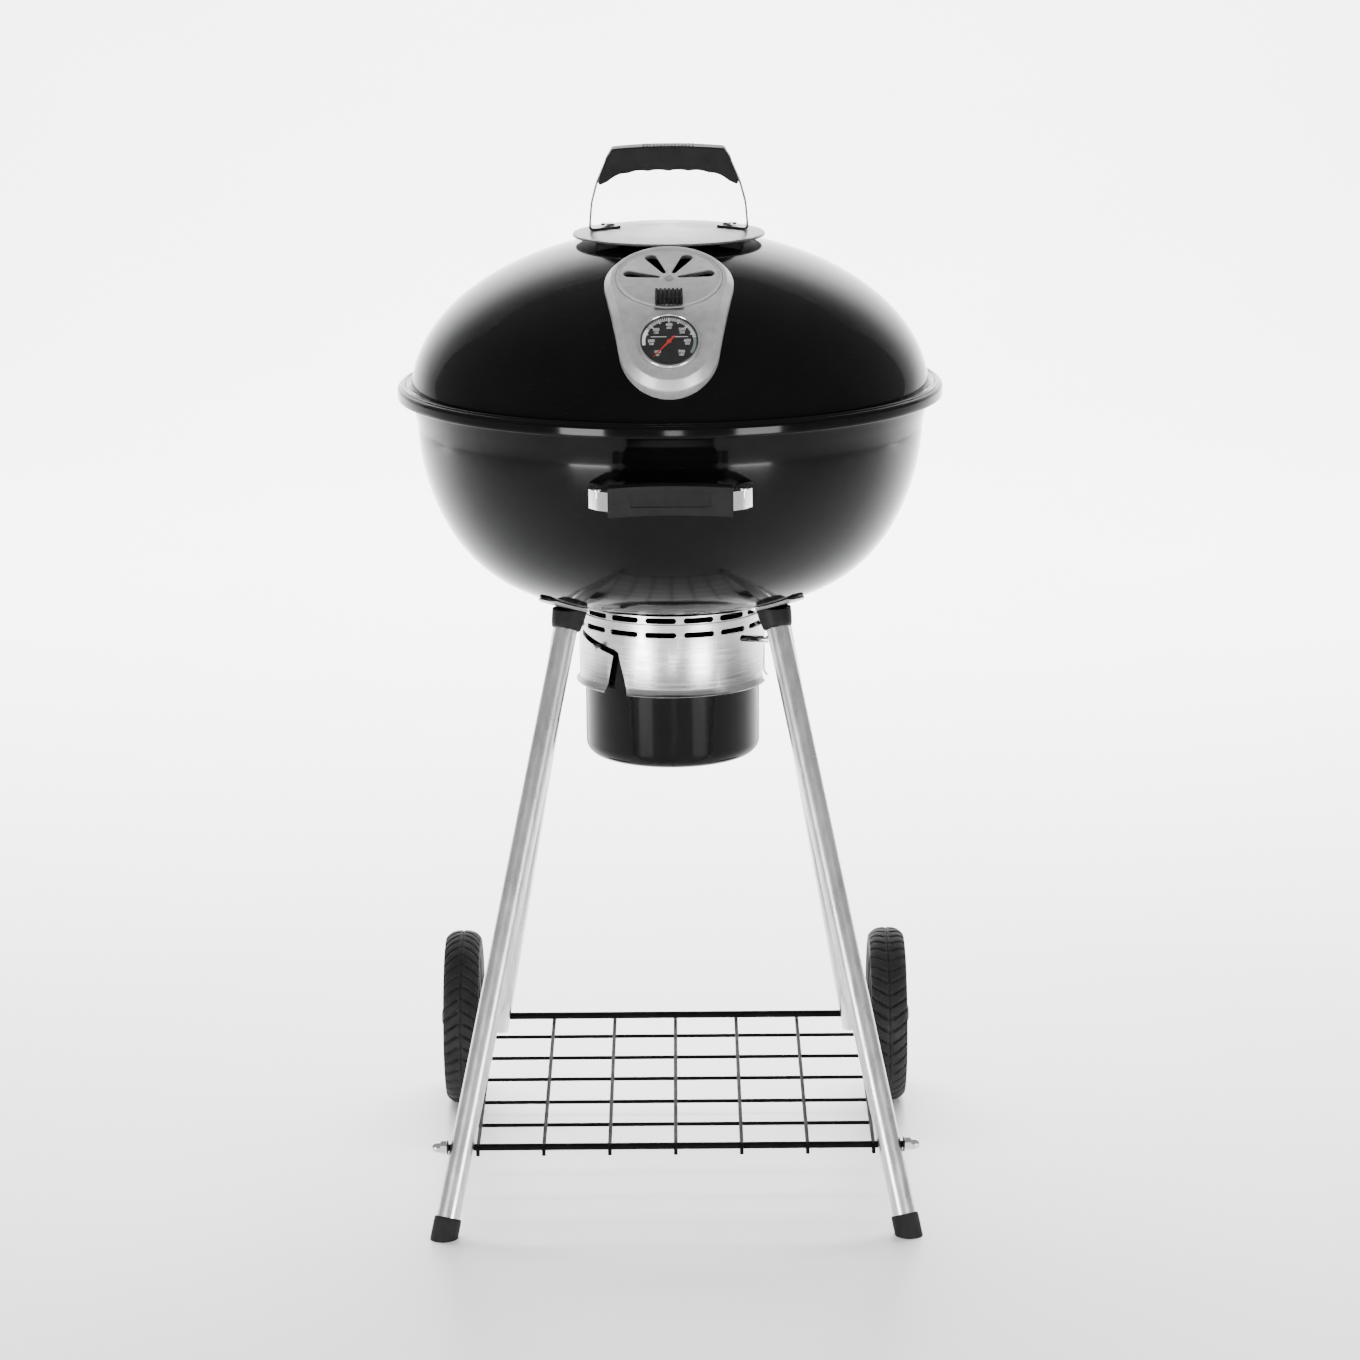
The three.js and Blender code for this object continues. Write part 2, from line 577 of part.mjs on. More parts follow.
function frontBracket(side) {
  const { half, height, thickness, root } = BRACKET;
  const mid = (GRIP.front + GRIP.back) / 2;
  const outline = [
    [half - thickness, root + 3], [half, root + 3], [half, mid + 8], [GRIP.half + 6, mid - 8],
    [GRIP.half + GAP, mid - 8], [GRIP.half + GAP, mid - 5], [GRIP.half + 5, mid - 5],
    [half - thickness, mid + 9],
  ];
  const strip = extruded(outline, height);
  strip.translate(0, 0, GRIP.z - 2.5 - height / 2);
  const web = extruded([
    [half - 0.5, root + 3], [half - 0.5, mid + 8], [GRIP.half + 8, mid - 4], [GRIP.half + 4, mid + 12],
    [GRIP.half + 10, root - 20],
  ], thickness);
  web.translate(0, 0, GRIP.z - 2.5 + height / 2 - thickness);
  const whole = join(solidOf(repaired(strip)), solidOf(repaired(web)));
  const bowl = turned([
    [0, 700], [bowlRadius(700) + GAP, 700], ...[730, 760, 790, 820, 839].map((h) => [bowlRadius(h) + GAP, h]),
    [0, 839],
  ]);
  const hole = rod([side * (GRIP.half + 11), mid + 8, 790], [side * (GRIP.half + 11), mid + 8, 840], BOLT.hole, 10);
  const oneSide = side < 0 ? geometryOf(whole).scale(-1, 1, 1) : geometryOf(whole);
  return cut(solidOf(repaired(oneSide)), bowl, hole);
}

function frontBolt(side) {
  const mid = (GRIP.front + GRIP.back) / 2;
  const x = side * (GRIP.half + 11);
  const seat = GRIP.z - 2.5 + BRACKET.height / 2 + GAP;
  const head = rod([x, mid + 8, seat], [x, mid + 8, seat + 2.6], 6, 16);
  return join(head, rod([x, mid + 8, seat - 8], [x, mid + 8, seat + 1], BOLT.shank, 10));
}

place('front_handle_grip', gripFront(), blackPlastic());
for (const [side, word] of [[-1, 'left'], [1, 'right']]) {
  place(`front_handle_bracket_${word}`, frontBracket(side), chrome());
  place(`front_handle_bolt_${word}`, frontBolt(side), chrome());
}

// ---------------------------------------------------------------- air ring and ash pot
// A flat outline of [degrees, height] wrapped round the kettle's axis; 0 degrees is the front
function wrapped(outline, inner, outer) {
  const geometry = extruded(outline, outer - inner);
  const position = geometry.attributes.position;
  for (let i = 0; i < position.count; i += 1) {
    const angle = THREE.MathUtils.degToRad(position.getX(i));
    const radius = inner + position.getZ(i);
    position.setXYZ(i, radius * Math.sin(angle), -radius * Math.cos(angle), position.getY(i));
  }
  return solidOf(repaired(geometry));
}

function airSlots(height, radius) {
  const half = AIR_SLOT.height / 2;
  return Array.from({ length: AIR_SLOT.count }, (_, i) => {
    const centre = AIR_SLOT.phase + (i * 360) / AIR_SLOT.count;
    const side = AIR_SLOT.width / 2;
    return wrapped([
      [centre - side, height - half], [centre + side, height - half],
      [centre + side, height + half], [centre - side, height + half],
    ], radius - 6, radius + 6);
  });
}

const rampHeight = (degrees) => RAMP.pinHeight - (degrees - RAMP.pins[0]) * RAMP.rise;

function bayonet(shift) {
  const half = RAMP.height / 2;
  const steps = [0, 0.25, 0.5, 0.75, 1].map((share) => RAMP.closed + (RAMP.open - RAMP.closed) * share);
  const lower = steps.map((degrees) => [degrees + shift, rampHeight(degrees) - half]);
  const upper = steps.map((degrees) => [degrees + shift, rampHeight(degrees) + half]).reverse();
  const mouth = [
    [MOUTH.bottom[0] + shift, DRUM.bottom - 5], [MOUTH.bottom[1] + shift, DRUM.bottom - 5],
    [MOUTH.top[1] + shift, rampHeight(RAMP.open) + half - 0.5],
  ];
  return wrapped([...lower, ...mouth, ...upper], DRUM.radius - 8, DRUM.flare + 6);
}

const drum = turned([
  [DRUM.radius - DRUM.wall, DRUM.top], [DRUM.radius - DRUM.wall, DRUM.bottom + 5],
  [DRUM.flare - 1.2, DRUM.bottom], [DRUM.flare, DRUM.bottom + 0.8],
  [DRUM.radius, DRUM.bottom + 7], [DRUM.radius, DRUM.top],
], 30);
const bayonets = RAMP.pins.map((pin) => bayonet(pin - RAMP.pins[0]));
place('air_shutter_ring', cut(drum, ...airSlots(AIR_SLOT.lower, DRUM.radius), ...bayonets), stainless());

const collar = turned([
  [COLLAR.radius - COLLAR.wall, COLLAR.bottom], [COLLAR.radius, COLLAR.bottom],
  [COLLAR.radius, COLLAR.top - COLLAR.wall], [COLLAR.flange, COLLAR.top - COLLAR.wall],
  [COLLAR.flange, COLLAR.top], [COLLAR.radius - COLLAR.wall, COLLAR.top],
], 30);
place('ash_collar', cut(
  collar,
  ...airSlots(AIR_SLOT.upper - 1.2, COLLAR.radius),
  ...airSlots(AIR_SLOT.lower, COLLAR.radius),
), stainless());

const potRadiusInside = POT.radius - POT.wall;
const pot = turned([
  [0, POT.bottom],
  ...arc(POT.radius - POT.corner, POT.bottom + POT.corner, POT.corner, -90, 0, 3),
  [POT.radius, POT.top], [potRadiusInside, POT.top],
  ...arc(POT.radius - POT.corner, POT.bottom + POT.corner, POT.corner - POT.wall, 0, -90, 3),
  [0, POT.bottom + POT.wall],
], 30);
place('ash_pot', cut(pot, ...RAMP.pins.map((degrees) => radialRod(degrees, 80, 130, PIN.shank + GAP))), enamel());

function radialRod(degrees, from, to, radius, sides = 10) {
  const angle = THREE.MathUtils.degToRad(degrees);
  const at = (reach) => [reach * Math.sin(angle), -reach * Math.cos(angle), RAMP.pinHeight];
  return rod(at(from), at(to), radius, sides);
}

for (const [index, degrees] of RAMP.pins.entries()) {
  place(`ash_pot_pin_${index + 1}`, join(
    radialRod(degrees, potRadiusInside - 4, PIN.reach, PIN.shank),
    radialRod(degrees, potRadiusInside - 5, potRadiusInside - 3, PIN.head, 12),
    radialRod(degrees, PIN.reach - 1, PIN.reach + PIN.headThickness, PIN.head, 12),
  ), chrome());
}

// ---------------------------------------------------------------- legs, axle, wheels and shelf
const legSpots = [
  ['front_left', -1, -1], ['front_right', 1, -1], ['rear_left', -1, 1], ['rear_right', 1, 1],
];

function legEnds(sideX, sideY) {
  const top = [sideX * SOCKET.x, sideY * SOCKET.y, SOCKET.z];
  if (sideY < 0) return [top, [sideX * FRONT_FOOT.x, FRONT_FOOT.y, 0]];
  const low = [sideX * REAR_LEG_X, AXLE.y, AXLE.z];
  const past = 1.03;
  return [top, top.map((value, i) => value + (low[i] - value) * past)];
}

const between = ([top, low], share) => top.map((value, i) => value + (low[i] - value) * share);
const shareAtHeight = ([top, low], height) => (top[2] - height) / (top[2] - low[2]);
const atHeight = (ends, height) => between(ends, shareAtHeight(ends, height));

const axleHole = rod([-300, AXLE.y, AXLE.z], [300, AXLE.y, AXLE.z], AXLE.radius + 0.5, 12);
const shelfBarHole = rod([-300, SHELF.y, SHELF.z], [300, SHELF.y, SHELF.z], SHELF.barRadius + GAP + 0.1, 12);
const bowlEnvelope = turned([
  ...bowlArc(GAP + 0.6, 6), [BOWL.radius, 860], [0, 860], [0, bowlHeight(0, GAP + 0.6)],
  [BOWL_MOUTH, bowlHeight(0, GAP + 0.6)],
]);

for (const [word, sideX, sideY] of legSpots) {
  const ends = legEnds(sideX, sideY);
  const socketBottom = atHeight(ends, SOCKET.z - SOCKET.length + 8);
  const tubeTop = atHeight(ends, SOCKET.z - SOCKET.length + 14);
  const tubeLow = sideY < 0 ? atHeight(ends, 9) : ends[1];
  const outer = rod(tubeTop, tubeLow, TUBE.radius, 12);
  const bore = rod(atHeight(ends, 650), between(ends, 1.2), TUBE.radius - TUBE.wall, 8);
  const crossHole = sideY < 0 ? shelfBarHole : axleHole;
  place(`leg_${word}`, cut(outer, bore, crossHole), stainless());

  const start = new THREE.Vector3(...atHeight(ends, SOCKET.z + SOCKET.seat + 11));
  const end = new THREE.Vector3(...socketBottom);
  const along = end.clone().sub(start);
  const cup = new THREE.CylinderGeometry(SOCKET.top, SOCKET.bottom, along.length(), 14);
  cup.applyQuaternion(new THREE.Quaternion().setFromUnitVectors(
    new THREE.Vector3(0, -1, 0), along.clone().normalize(),
  ));
  cup.translate(...start.clone().add(end).multiplyScalar(0.5).toArray());
  const plateTop = SOCKET.z + SOCKET.seat;
  const above = box(120, 120, 60, [sideX * SOCKET.x, sideY * SOCKET.y, plateTop + 30]);
  const pocket = rod(atHeight(ends, SOCKET.z - SOCKET.length + 14.5), between(ends, 0.3), TUBE.radius + GAP, 16);
  place(`leg_socket_${word}`, cut(solidOf(cup), above, pocket, bowlEnvelope), blackPlastic());

  const plate = box(54, 46, 40, [sideX * (SOCKET.x + 4), sideY * SOCKET.y, plateTop + GAP + 20]);
  const under = bowlEnvelope;
  const slab = cut(plate, under, box(90, 90, 60, [sideX * SOCKET.x, sideY * SOCKET.y, plateTop + 43]));
  place(`leg_plate_${word}`, slab, castIron());
}

for (const [word, side] of [['left', -1], ['right', 1]]) {
  const ends = legEnds(side, -1);
  const sleeve = rod(atHeight(ends, CAP.height), between(ends, 1.03), CAP.radius, 20);
  const pocket = rod(atHeight(ends, CAP.height + 20), atHeight(ends, 8), TUBE.radius + GAP, 16);
  const below = box(120, 120, 60, [side * FRONT_FOOT.x, FRONT_FOOT.y, -30]);
  place(`foot_cap_${word}`, cut(sleeve, pocket, below), rubber());

  // Outward from the leg: washer, then the domed nut on the shelf bar's threaded end
  const legX = atHeight(ends, SHELF.z)[0];
  const face = legX + side * (TUBE.radius + 2.2);
  place(`shelf_washer_${word}`, cut(
    rod([face, SHELF.y, SHELF.z], [face + side * 1.5, SHELF.y, SHELF.z], 8, 16),
    shelfBarHole,
  ), blackPlastic());
  const seat = face + side * (1.5 + GAP);
  const tip = SHELF.nutReach + 22 + SHELF.barRadius;
  const nut = join(
    rod([seat, SHELF.y, SHELF.z], [seat + side * 7, SHELF.y, SHELF.z], 7.4, 6),
    rod([seat + side * 6, SHELF.y, SHELF.z], [side * tip * 0.985, SHELF.y, SHELF.z], 5.6, 12),
  );
  const threadHole = rod([0, SHELF.y, SHELF.z], [side * (SHELF.nutReach + 10.5), SHELF.y, SHELF.z],
    SHELF.barRadius + GAP, 12);
  place(`shelf_nut_${word}`, cut(nut, threadHole), chrome());
}

place('axle', rod([-AXLE.half, AXLE.y, AXLE.z], [AXLE.half, AXLE.y, AXLE.z], AXLE.radius, 12), blackWire());

function wheelPiece(profile, side, segments = 28) {
  const geometry = lathe(profile, segments);
  geometry.rotateY(Math.PI / 2);
  geometry.translate(side * (WHEEL.outer - WHEEL.width / 2), AXLE.y, AXLE.z);
  return geometry;
}

for (const [word, side] of [['left', -1], ['right', 1]]) {
  const halfWidth = WHEEL.width / 2;
  place(`tyre_${word}`, wheelPiece([
    [WHEEL.rim, -halfWidth + 4], [WHEEL.radius - 14, -halfWidth], [WHEEL.radius - 5, -halfWidth + 3],
    [WHEEL.radius, -halfWidth + 11], [WHEEL.radius, halfWidth - 11], [WHEEL.radius - 5, halfWidth - 3],
    [WHEEL.radius - 14, halfWidth], [WHEEL.rim, halfWidth - 4],
  ], side), rubber());
  const halfHub = WHEEL.hubWidth / 2;
  const rimInside = WHEEL.rim - GAP - 3;
  const hub = solidOf(wheelPiece([
    [WHEEL.bore, -halfHub], [16, -halfHub], [20, -4], [rimInside - 6, -4], [rimInside, -halfHub],
    [WHEEL.rim - GAP, -halfHub], [WHEEL.rim - GAP, halfHub], [rimInside, halfHub],
    [rimInside - 6, 4], [20, 4], [16, halfHub], [WHEEL.bore, halfHub],
  ], side));
  const windows = Array.from({ length: 5 }, (_, i) => {
    const angle = (i / 5) * TURN;
    const y = AXLE.y + 41 * Math.cos(angle);
    const z = AXLE.z + 41 * Math.sin(angle);
    return rod([side * 200, y, z], [side * 300, y, z], 14, 6);
  });
  place(`wheel_hub_${word}`, cut(hub, ...windows), blackPlastic());
  const capLow = AXLE.half + GAP;
  place(`axle_cap_${word}`, rod([side * capLow, AXLE.y, AXLE.z], [side * (capLow + 6), AXLE.y, AXLE.z], 11, 20),
    blackPlastic());
}

function wireShelf() {
  const wireFront = SHELF.z + 1.1;
  // The long wires hook under the axle, close below it
  const wireRear = AXLE.z - AXLE.radius - SHELF.wireRadius - 0.5;
  const frontY = SHELF.y - SHELF.barRadius - SHELF.wireRadius + 0.5;
  const rearY = AXLE.y + 7;
  const heightAt = (y) => wireFront + ((wireRear - wireFront) * (y - SHELF.y)) / (AXLE.y - SHELF.y);
  const bar = rod([-SHELF.nutReach - 10, SHELF.y, SHELF.z], [SHELF.nutReach + 10, SHELF.y, SHELF.z],
    SHELF.barRadius, 12);
  const longWires = [-3, -2, -1, 0, 1, 2, 3].map((index) => {
    const x = index * SHELF.pitch;
    const end = Math.abs(index) === 3 ? AXLE.y - TUBE.radius - 8 : rearY;
    return join(
      rod([x, frontY - 1.5, wireFront], [x, end, heightAt(end)], SHELF.wireRadius, 4),
      rod([x, frontY, wireFront + 1.5], [x, frontY, SHELF.z - 8], SHELF.wireRadius, 4),
    );
  });
  const crossWires = CROSS_WIRES.map((y) => {
    const reach = 3 * SHELF.pitch + 6;
    const z = heightAt(y) - SHELF.wireRadius * 1.6;
    return rod([-reach, y, z], [reach, y, z], SHELF.wireRadius, 4);
  });
  return join(bar, ...longWires, ...crossWires);
}
place('wire_shelf', wireShelf(), blackWire());

export default kettle;
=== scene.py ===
"""Kettle charcoal grill: the finished surfaces, materials and studio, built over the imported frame.

Shapes are made in millimetres on the kettle's own axis and put into the frame in metres.
"""
import math

import bmesh
import bpy
from mathutils import Matrix, Vector


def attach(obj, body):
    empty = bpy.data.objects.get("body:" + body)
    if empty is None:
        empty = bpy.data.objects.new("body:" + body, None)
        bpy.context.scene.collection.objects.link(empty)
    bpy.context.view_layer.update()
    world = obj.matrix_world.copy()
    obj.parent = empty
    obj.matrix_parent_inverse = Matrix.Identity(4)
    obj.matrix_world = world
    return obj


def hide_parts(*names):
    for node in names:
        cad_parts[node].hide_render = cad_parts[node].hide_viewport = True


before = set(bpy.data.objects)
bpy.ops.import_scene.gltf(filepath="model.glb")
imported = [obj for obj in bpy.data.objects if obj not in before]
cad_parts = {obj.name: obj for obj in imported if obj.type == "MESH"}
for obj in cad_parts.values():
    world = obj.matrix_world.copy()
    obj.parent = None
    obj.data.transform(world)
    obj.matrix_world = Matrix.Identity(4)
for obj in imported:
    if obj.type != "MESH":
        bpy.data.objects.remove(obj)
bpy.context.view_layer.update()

# ---------------- driving dimensions, mm
AXIS_Y = 20.1
FRAME = Matrix.Scale(0.001, 4) @ Matrix.Translation((0, AXIS_Y, 0))
TURN = 2 * math.pi
SIDES = ((-1, "left"), (1, "right"))
EDGE_WEAR, GLASS_GLOSS = 0.7, 0.35
GAP = 0.3

LID_RADIUS, LID_BASE, LID_RISE = 287.1, 870.7, 179.0
LIP_RADIUS, LIP_TOP = 301.7, 885.0
BOWL_RADIUS, BOWL_EQUATOR, BOWL_DEPTH, BOWL_TOP = 279.4, 839.3, 199.8, 870.0
BOWL_ROUNDNESS, BOWL_FULLNESS = 3.87, 1.75
BOWL_MOUTH, BOWL_FLAT_END = 98.0, 190.0
BEAD_REACH, BEAD_Z, BEAD_ROUND = 294.6, 872.8, 3.2
WALL = 1.5
COOKING_TABS, CHARCOAL_TABS, TAB_SIZE = (271, 833, 14), (214, 706.5, 36), (16, 3)

SHIELD_RADIUS, SHIELD_EDGE, SHIELD_RISE, SHIELD_THICKNESS = 105.0, 1048.0, 9.0, 1.5
SPACER_SIZE, SPACER_REACH, ABOVE_SHIELD = (23.5, 144, 30), 101.0, 1090.0
BOLT_X, BOLT_HOLE, BOLT_SEAT = 67.0, 3.4, 1056.7
BAIL_FOOT, BAIL_WIDTH, BAIL_SHEET, BAIL_HEEL, BAIL_TOP = 88.0, 28.0, 2.2, 1055.1, 1133.0
HOLD_CROWN, HOLD_DROOP, HOLD_TOP_HALF, HOLD_WIDTH = 1144.2, 2.8, 61.5, 32.0
HOLD_UNDER, HOLD_SAG, HOLD_HALF = 1116.8, 11.0, 66.0
SCALLOP_DEPTH, SCALLOP_PITCH = 1.3, 22.0
RIB_COUNT, RIB_HALF, RIB_RADIUS = 15, 27.0, 1.1

VENT_Y, VENT_Z, VENT_TILT = -178.8, 1021.6, 25.5
DIAL_TILT = 49.5
BEND_MEET, BEND_RADIUS, DIAL_BEYOND = 61.48, 50.0, 39.6
BEND_TURN = math.radians(DIAL_TILT - VENT_TILT)
BEND_TANGENT = BEND_RADIUS * math.tan(BEND_TURN / 2)
BEND_START = BEND_MEET - BEND_TANGENT
DIAL_DISTANCE = BEND_START + BEND_TURN * BEND_RADIUS + DIAL_BEYOND - BEND_TANGENT
HOUSING_UPPER, HOUSING_LOWER = 69.0, 53.0
DISC_RADIUS, RECESS_RADIUS, RECESS_DEPTH, VENT_HOLE = 56.8, 57.6, 2.4, 47.0
SLOT_ANGLES = (-79.5, -26.5, 26.5, 79.5)
SLOT_FAR, SLOT_FAR_ROUND, SLOT_NEAR, SLOT_NEAR_ROUND = 43, 5.6, 12, 1.6
THUMB_HALF, THUMB_OUTER, THUMB_INNER, THUMB_TOP = 14.4, 52.0, 34.0, 8.6
THUMB_RIBS, THUMB_RIB_PITCH, THUMB_RIB_RADIUS = 7, 4.4, 1.5

BEZEL_INNER, BEZEL_OUTER, BEZEL_ROUND = 30.8, 33.6, 1.7
GLASS_RADIUS, DIAL_TOP, PRINT_Z, PRINT_RISE = 30.1, 1.6, 1.68, 0.14
SCALE_START, SCALE_SWEEP, SCALE_STEPS, SCALE_END = 139.0, 277.0, 60, 29.0
NUMBER_CIRCLE, BAND_OUTER = 19.0, 28.6

DRUM_RADIUS, DRUM_TOP, DRUM_BOTTOM, DRUM_FLARE = 103.8, 627.6, 546.5, 107.5
COLLAR_RADIUS, COLLAR_TOP, COLLAR_BOTTOM, COLLAR_FLANGE = 101.8, 639.0, 608.5, 112.0
SHEET = 1.2
SLOT_COUNT, SLOT_WIDTH, SLOT_HEIGHT, SLOT_PHASE = 15, 19.5, 6.5, -7.0
UPPER_SLOTS, LOWER_SLOTS = 631.8, 616.0
SEAM_START, SEAM_END = 28.6, 30.0
PIN_HEIGHT, RAMP_RISE, RAMP_CLOSED, RAMP_OPEN, RAMP_SLOT = 597.0, 0.349, -73.7, -38.0, 7.5
PINS, PIN_START, PIN_END = (-50, 70, 190), 92.0, 130.0
PIN_SHANK, PIN_FLANGE = 2.5, 4.2
POT_RADIUS, POT_TOP, POT_BOTTOM, POT_CORNER = 97.6, 603.0, 462.0, 16.0

TUBE_RADIUS, TUBE_WALL = 12.7, 1.5
SOCKET = Vector((114.0, 111.0, 637.0))
SOCKET_LOW, SOCKET_SEAT, SOCKET_BORE, BOWL_FIT = 626.5, 649.0, 13.0, 0.9
PLATE_SIZE, PLATE_RISE, PLATE_DEPTH = (54, 46, 13), 6.8, 3.4
CUTTER = (160, 160, 60)
FOOT = Vector((251.2, -325.5, 0.0))
CAP_RADIUS, CAP_TOP, CAP_FLOOR = 14.9, 21.0, 26.0
AXLE_Y, AXLE_Z, AXLE_RADIUS, AXLE_HALF, REAR_LEG_X = 162.0, 101.6, 4.0, 272.0, 207.0
REAR_LEG_PAST_AXLE = 1.03
SHELF_Y, SHELF_Z, BAR_RADIUS, BAR_HALF = -294.0, 92.0, 3.7, 254.0
WIRE_RADIUS, WIRE_PITCH, WIRE_TAIL = 2.1, 71.4, 8.0
CROSS_WIRES = (110.6, 28.8, -50.5, -133.1, -213.1)
NUT_ROUND, DOME_START, DOME_ROUND, NUT_BORE = 7.4, 12.5, 5.6, 4.05

WHEEL_RADIUS, WHEEL_RIM, WHEEL_OUTER, WHEEL_WIDTH = 101.6, 68.0, 269.6, 42.0
TREAD_COUNT, TREAD_DEPTH, TREAD_SWING, CROWN_DROP, CENTRE_RIB = 44, 2.6, 0.9, 7.5, 1.2
SPOKES, WINDOW_OUTER, WINDOW_INNER = 5, 51.0, 27.0

GRIP_HALF, GRIP_Z, GRIP_HEIGHT, GRIP_FRONT, GRIP_BACK = 65.5, 809.5, 31.0, -333.0, -312.0
GRIP_ARCH, BADGE_SIZE = 2.5, (84, 2.4, 15)
BRACKET_HALF, BRACKET_SHEET, BRACKET_ROOT = 86.6, 2.4, -263.0


# ---------------- materials
def link(tree, source, target):
    tree.links.new(source, target)


def node(tree, kind, **inputs):
    """A shader node with plain values on the named sockets; an underscore stands for a space."""
    made = tree.nodes.new("ShaderNode" + kind)
    for name, value in inputs.items():
        made.inputs[name.replace("_", " ")].default_value = value
    return made


def noise(tree, scale, stretch=(1, 1, 1), detail=5.0):
    """A noise field in object space; stretch above 1 packs it more tightly along that axis."""
    coordinates = node(tree, "TexCoord")
    mapping = node(tree, "Mapping", Scale=stretch)
    texture = node(tree, "TexNoise", Scale=scale, Detail=detail)
    link(tree, coordinates.outputs["Object"], mapping.inputs["Vector"])
    link(tree, mapping.outputs["Vector"], texture.inputs["Vector"])
    return texture.outputs["Fac"]


def spread(tree, field, low, high):
    """The noise field mapped to a range of plain values."""
    mapped = node(tree, "MapRange", From_Min=0.3, From_Max=0.7, To_Min=low, To_Max=high)
    link(tree, field, mapped.inputs["Value"])
    return mapped.outputs["Result"]


def tint(tree, field, dark, light):
    ramp = node(tree, "ValToRGB")
    for stop, position, colour in zip(ramp.color_ramp.elements, (0.3, 0.7), (dark, light)):
        stop.position = position
        stop.color = (*colour, 1)
    link(tree, field, ramp.inputs["Fac"])
    return ramp.outputs["Color"]


def worn_edges(tree, colour, worn):
    """Brightens the raised edges, where handling has rubbed the surface."""
    geometry = node(tree, "NewGeometry")
    rounded = node(tree, "Bevel", Radius=EDGE_WEAR * 0.001)
    rounded.samples = 4
    likeness = node(tree, "VectorMath")
    likeness.operation = "DOT_PRODUCT"
    link(tree, geometry.outputs["Normal"], likeness.inputs[0])
    link(tree, rounded.outputs["Normal"], likeness.inputs[1])
    edge = node(tree, "MapRange", From_Min=0.99, From_Max=0.8)
    mix = node(tree, "Mix")
    mix.data_type = "RGBA"
    mix.inputs["B"].default_value = (*worn, 1)
    link(tree, likeness.outputs["Value"], edge.inputs["Value"])
    link(tree, edge.outputs["Result"], mix.inputs["Factor"])
    link(tree, colour, mix.inputs["A"])
    return mix.outputs["Result"]


def surface(name, dark, light, rough, metallic=0.0, grain=60.0, stretch=(1, 1, 1), relief=(400.0, 0.05, 0.2),
            coat=0.0, anisotropy=0.0, worn=None, gloss=0.5):
    """A finish with drifting colour, uneven roughness, a fine relief and, where given, rubbed edges."""
    material = bpy.data.materials.new(name)
    material.use_nodes = True
    tree = material.node_tree
    shader = tree.nodes["Principled BSDF"]
    for socket, value in (("Metallic", metallic), ("Specular IOR Level", gloss), ("Coat Weight", coat),
                          ("Coat Roughness", 0.05), ("Anisotropic", anisotropy)):
        shader.inputs[socket].default_value = value
    colour = tint(tree, noise(tree, grain, stretch), dark, light)
    if worn:
        colour = worn_edges(tree, colour, worn)
    link(tree, colour, shader.inputs["Base Color"])
    link(tree, spread(tree, noise(tree, grain * 0.6, stretch, 3.0), *rough), shader.inputs["Roughness"])
    relief_scale, strength, distance = relief
    bump = node(tree, "Bump", Strength=strength, Distance=distance * 0.001)
    link(tree, noise(tree, relief_scale, stretch, 4.0), bump.inputs["Height"])
    link(tree, bump.outputs["Normal"], shader.inputs["Normal"])
    return material


def grey(value):
    return (value, value, value * 1.01)


def clear_glass():
    material = bpy.data.materials.new("dial_glass")
    material.use_nodes = True
    tree = material.node_tree
    output = tree.nodes["Material Output"]
    tree.nodes.remove(tree.nodes["Principled BSDF"])
    clear = node(tree, "BsdfTransparent")
    gloss = node(tree, "BsdfGlossy")
    link(tree, spread(tree, noise(tree, 90.0), 0.02, 0.07), gloss.inputs["Roughness"])
    fresnel = node(tree, "Fresnel", IOR=1.45)
    mix = node(tree, "MixShader")
    thin = node(tree, "Math")
    thin.operation = "MULTIPLY"
    thin.inputs[1].default_value = GLASS_GLOSS
    link(tree, fresnel.outputs["Fac"], thin.inputs[0])
    link(tree, thin.outputs["Value"], mix.inputs["Fac"])
    link(tree, clear.outputs["BSDF"], mix.inputs[1])
    link(tree, gloss.outputs["BSDF"], mix.inputs[2])
    link(tree, mix.outputs["Shader"], output.inputs["Surface"])
    return material


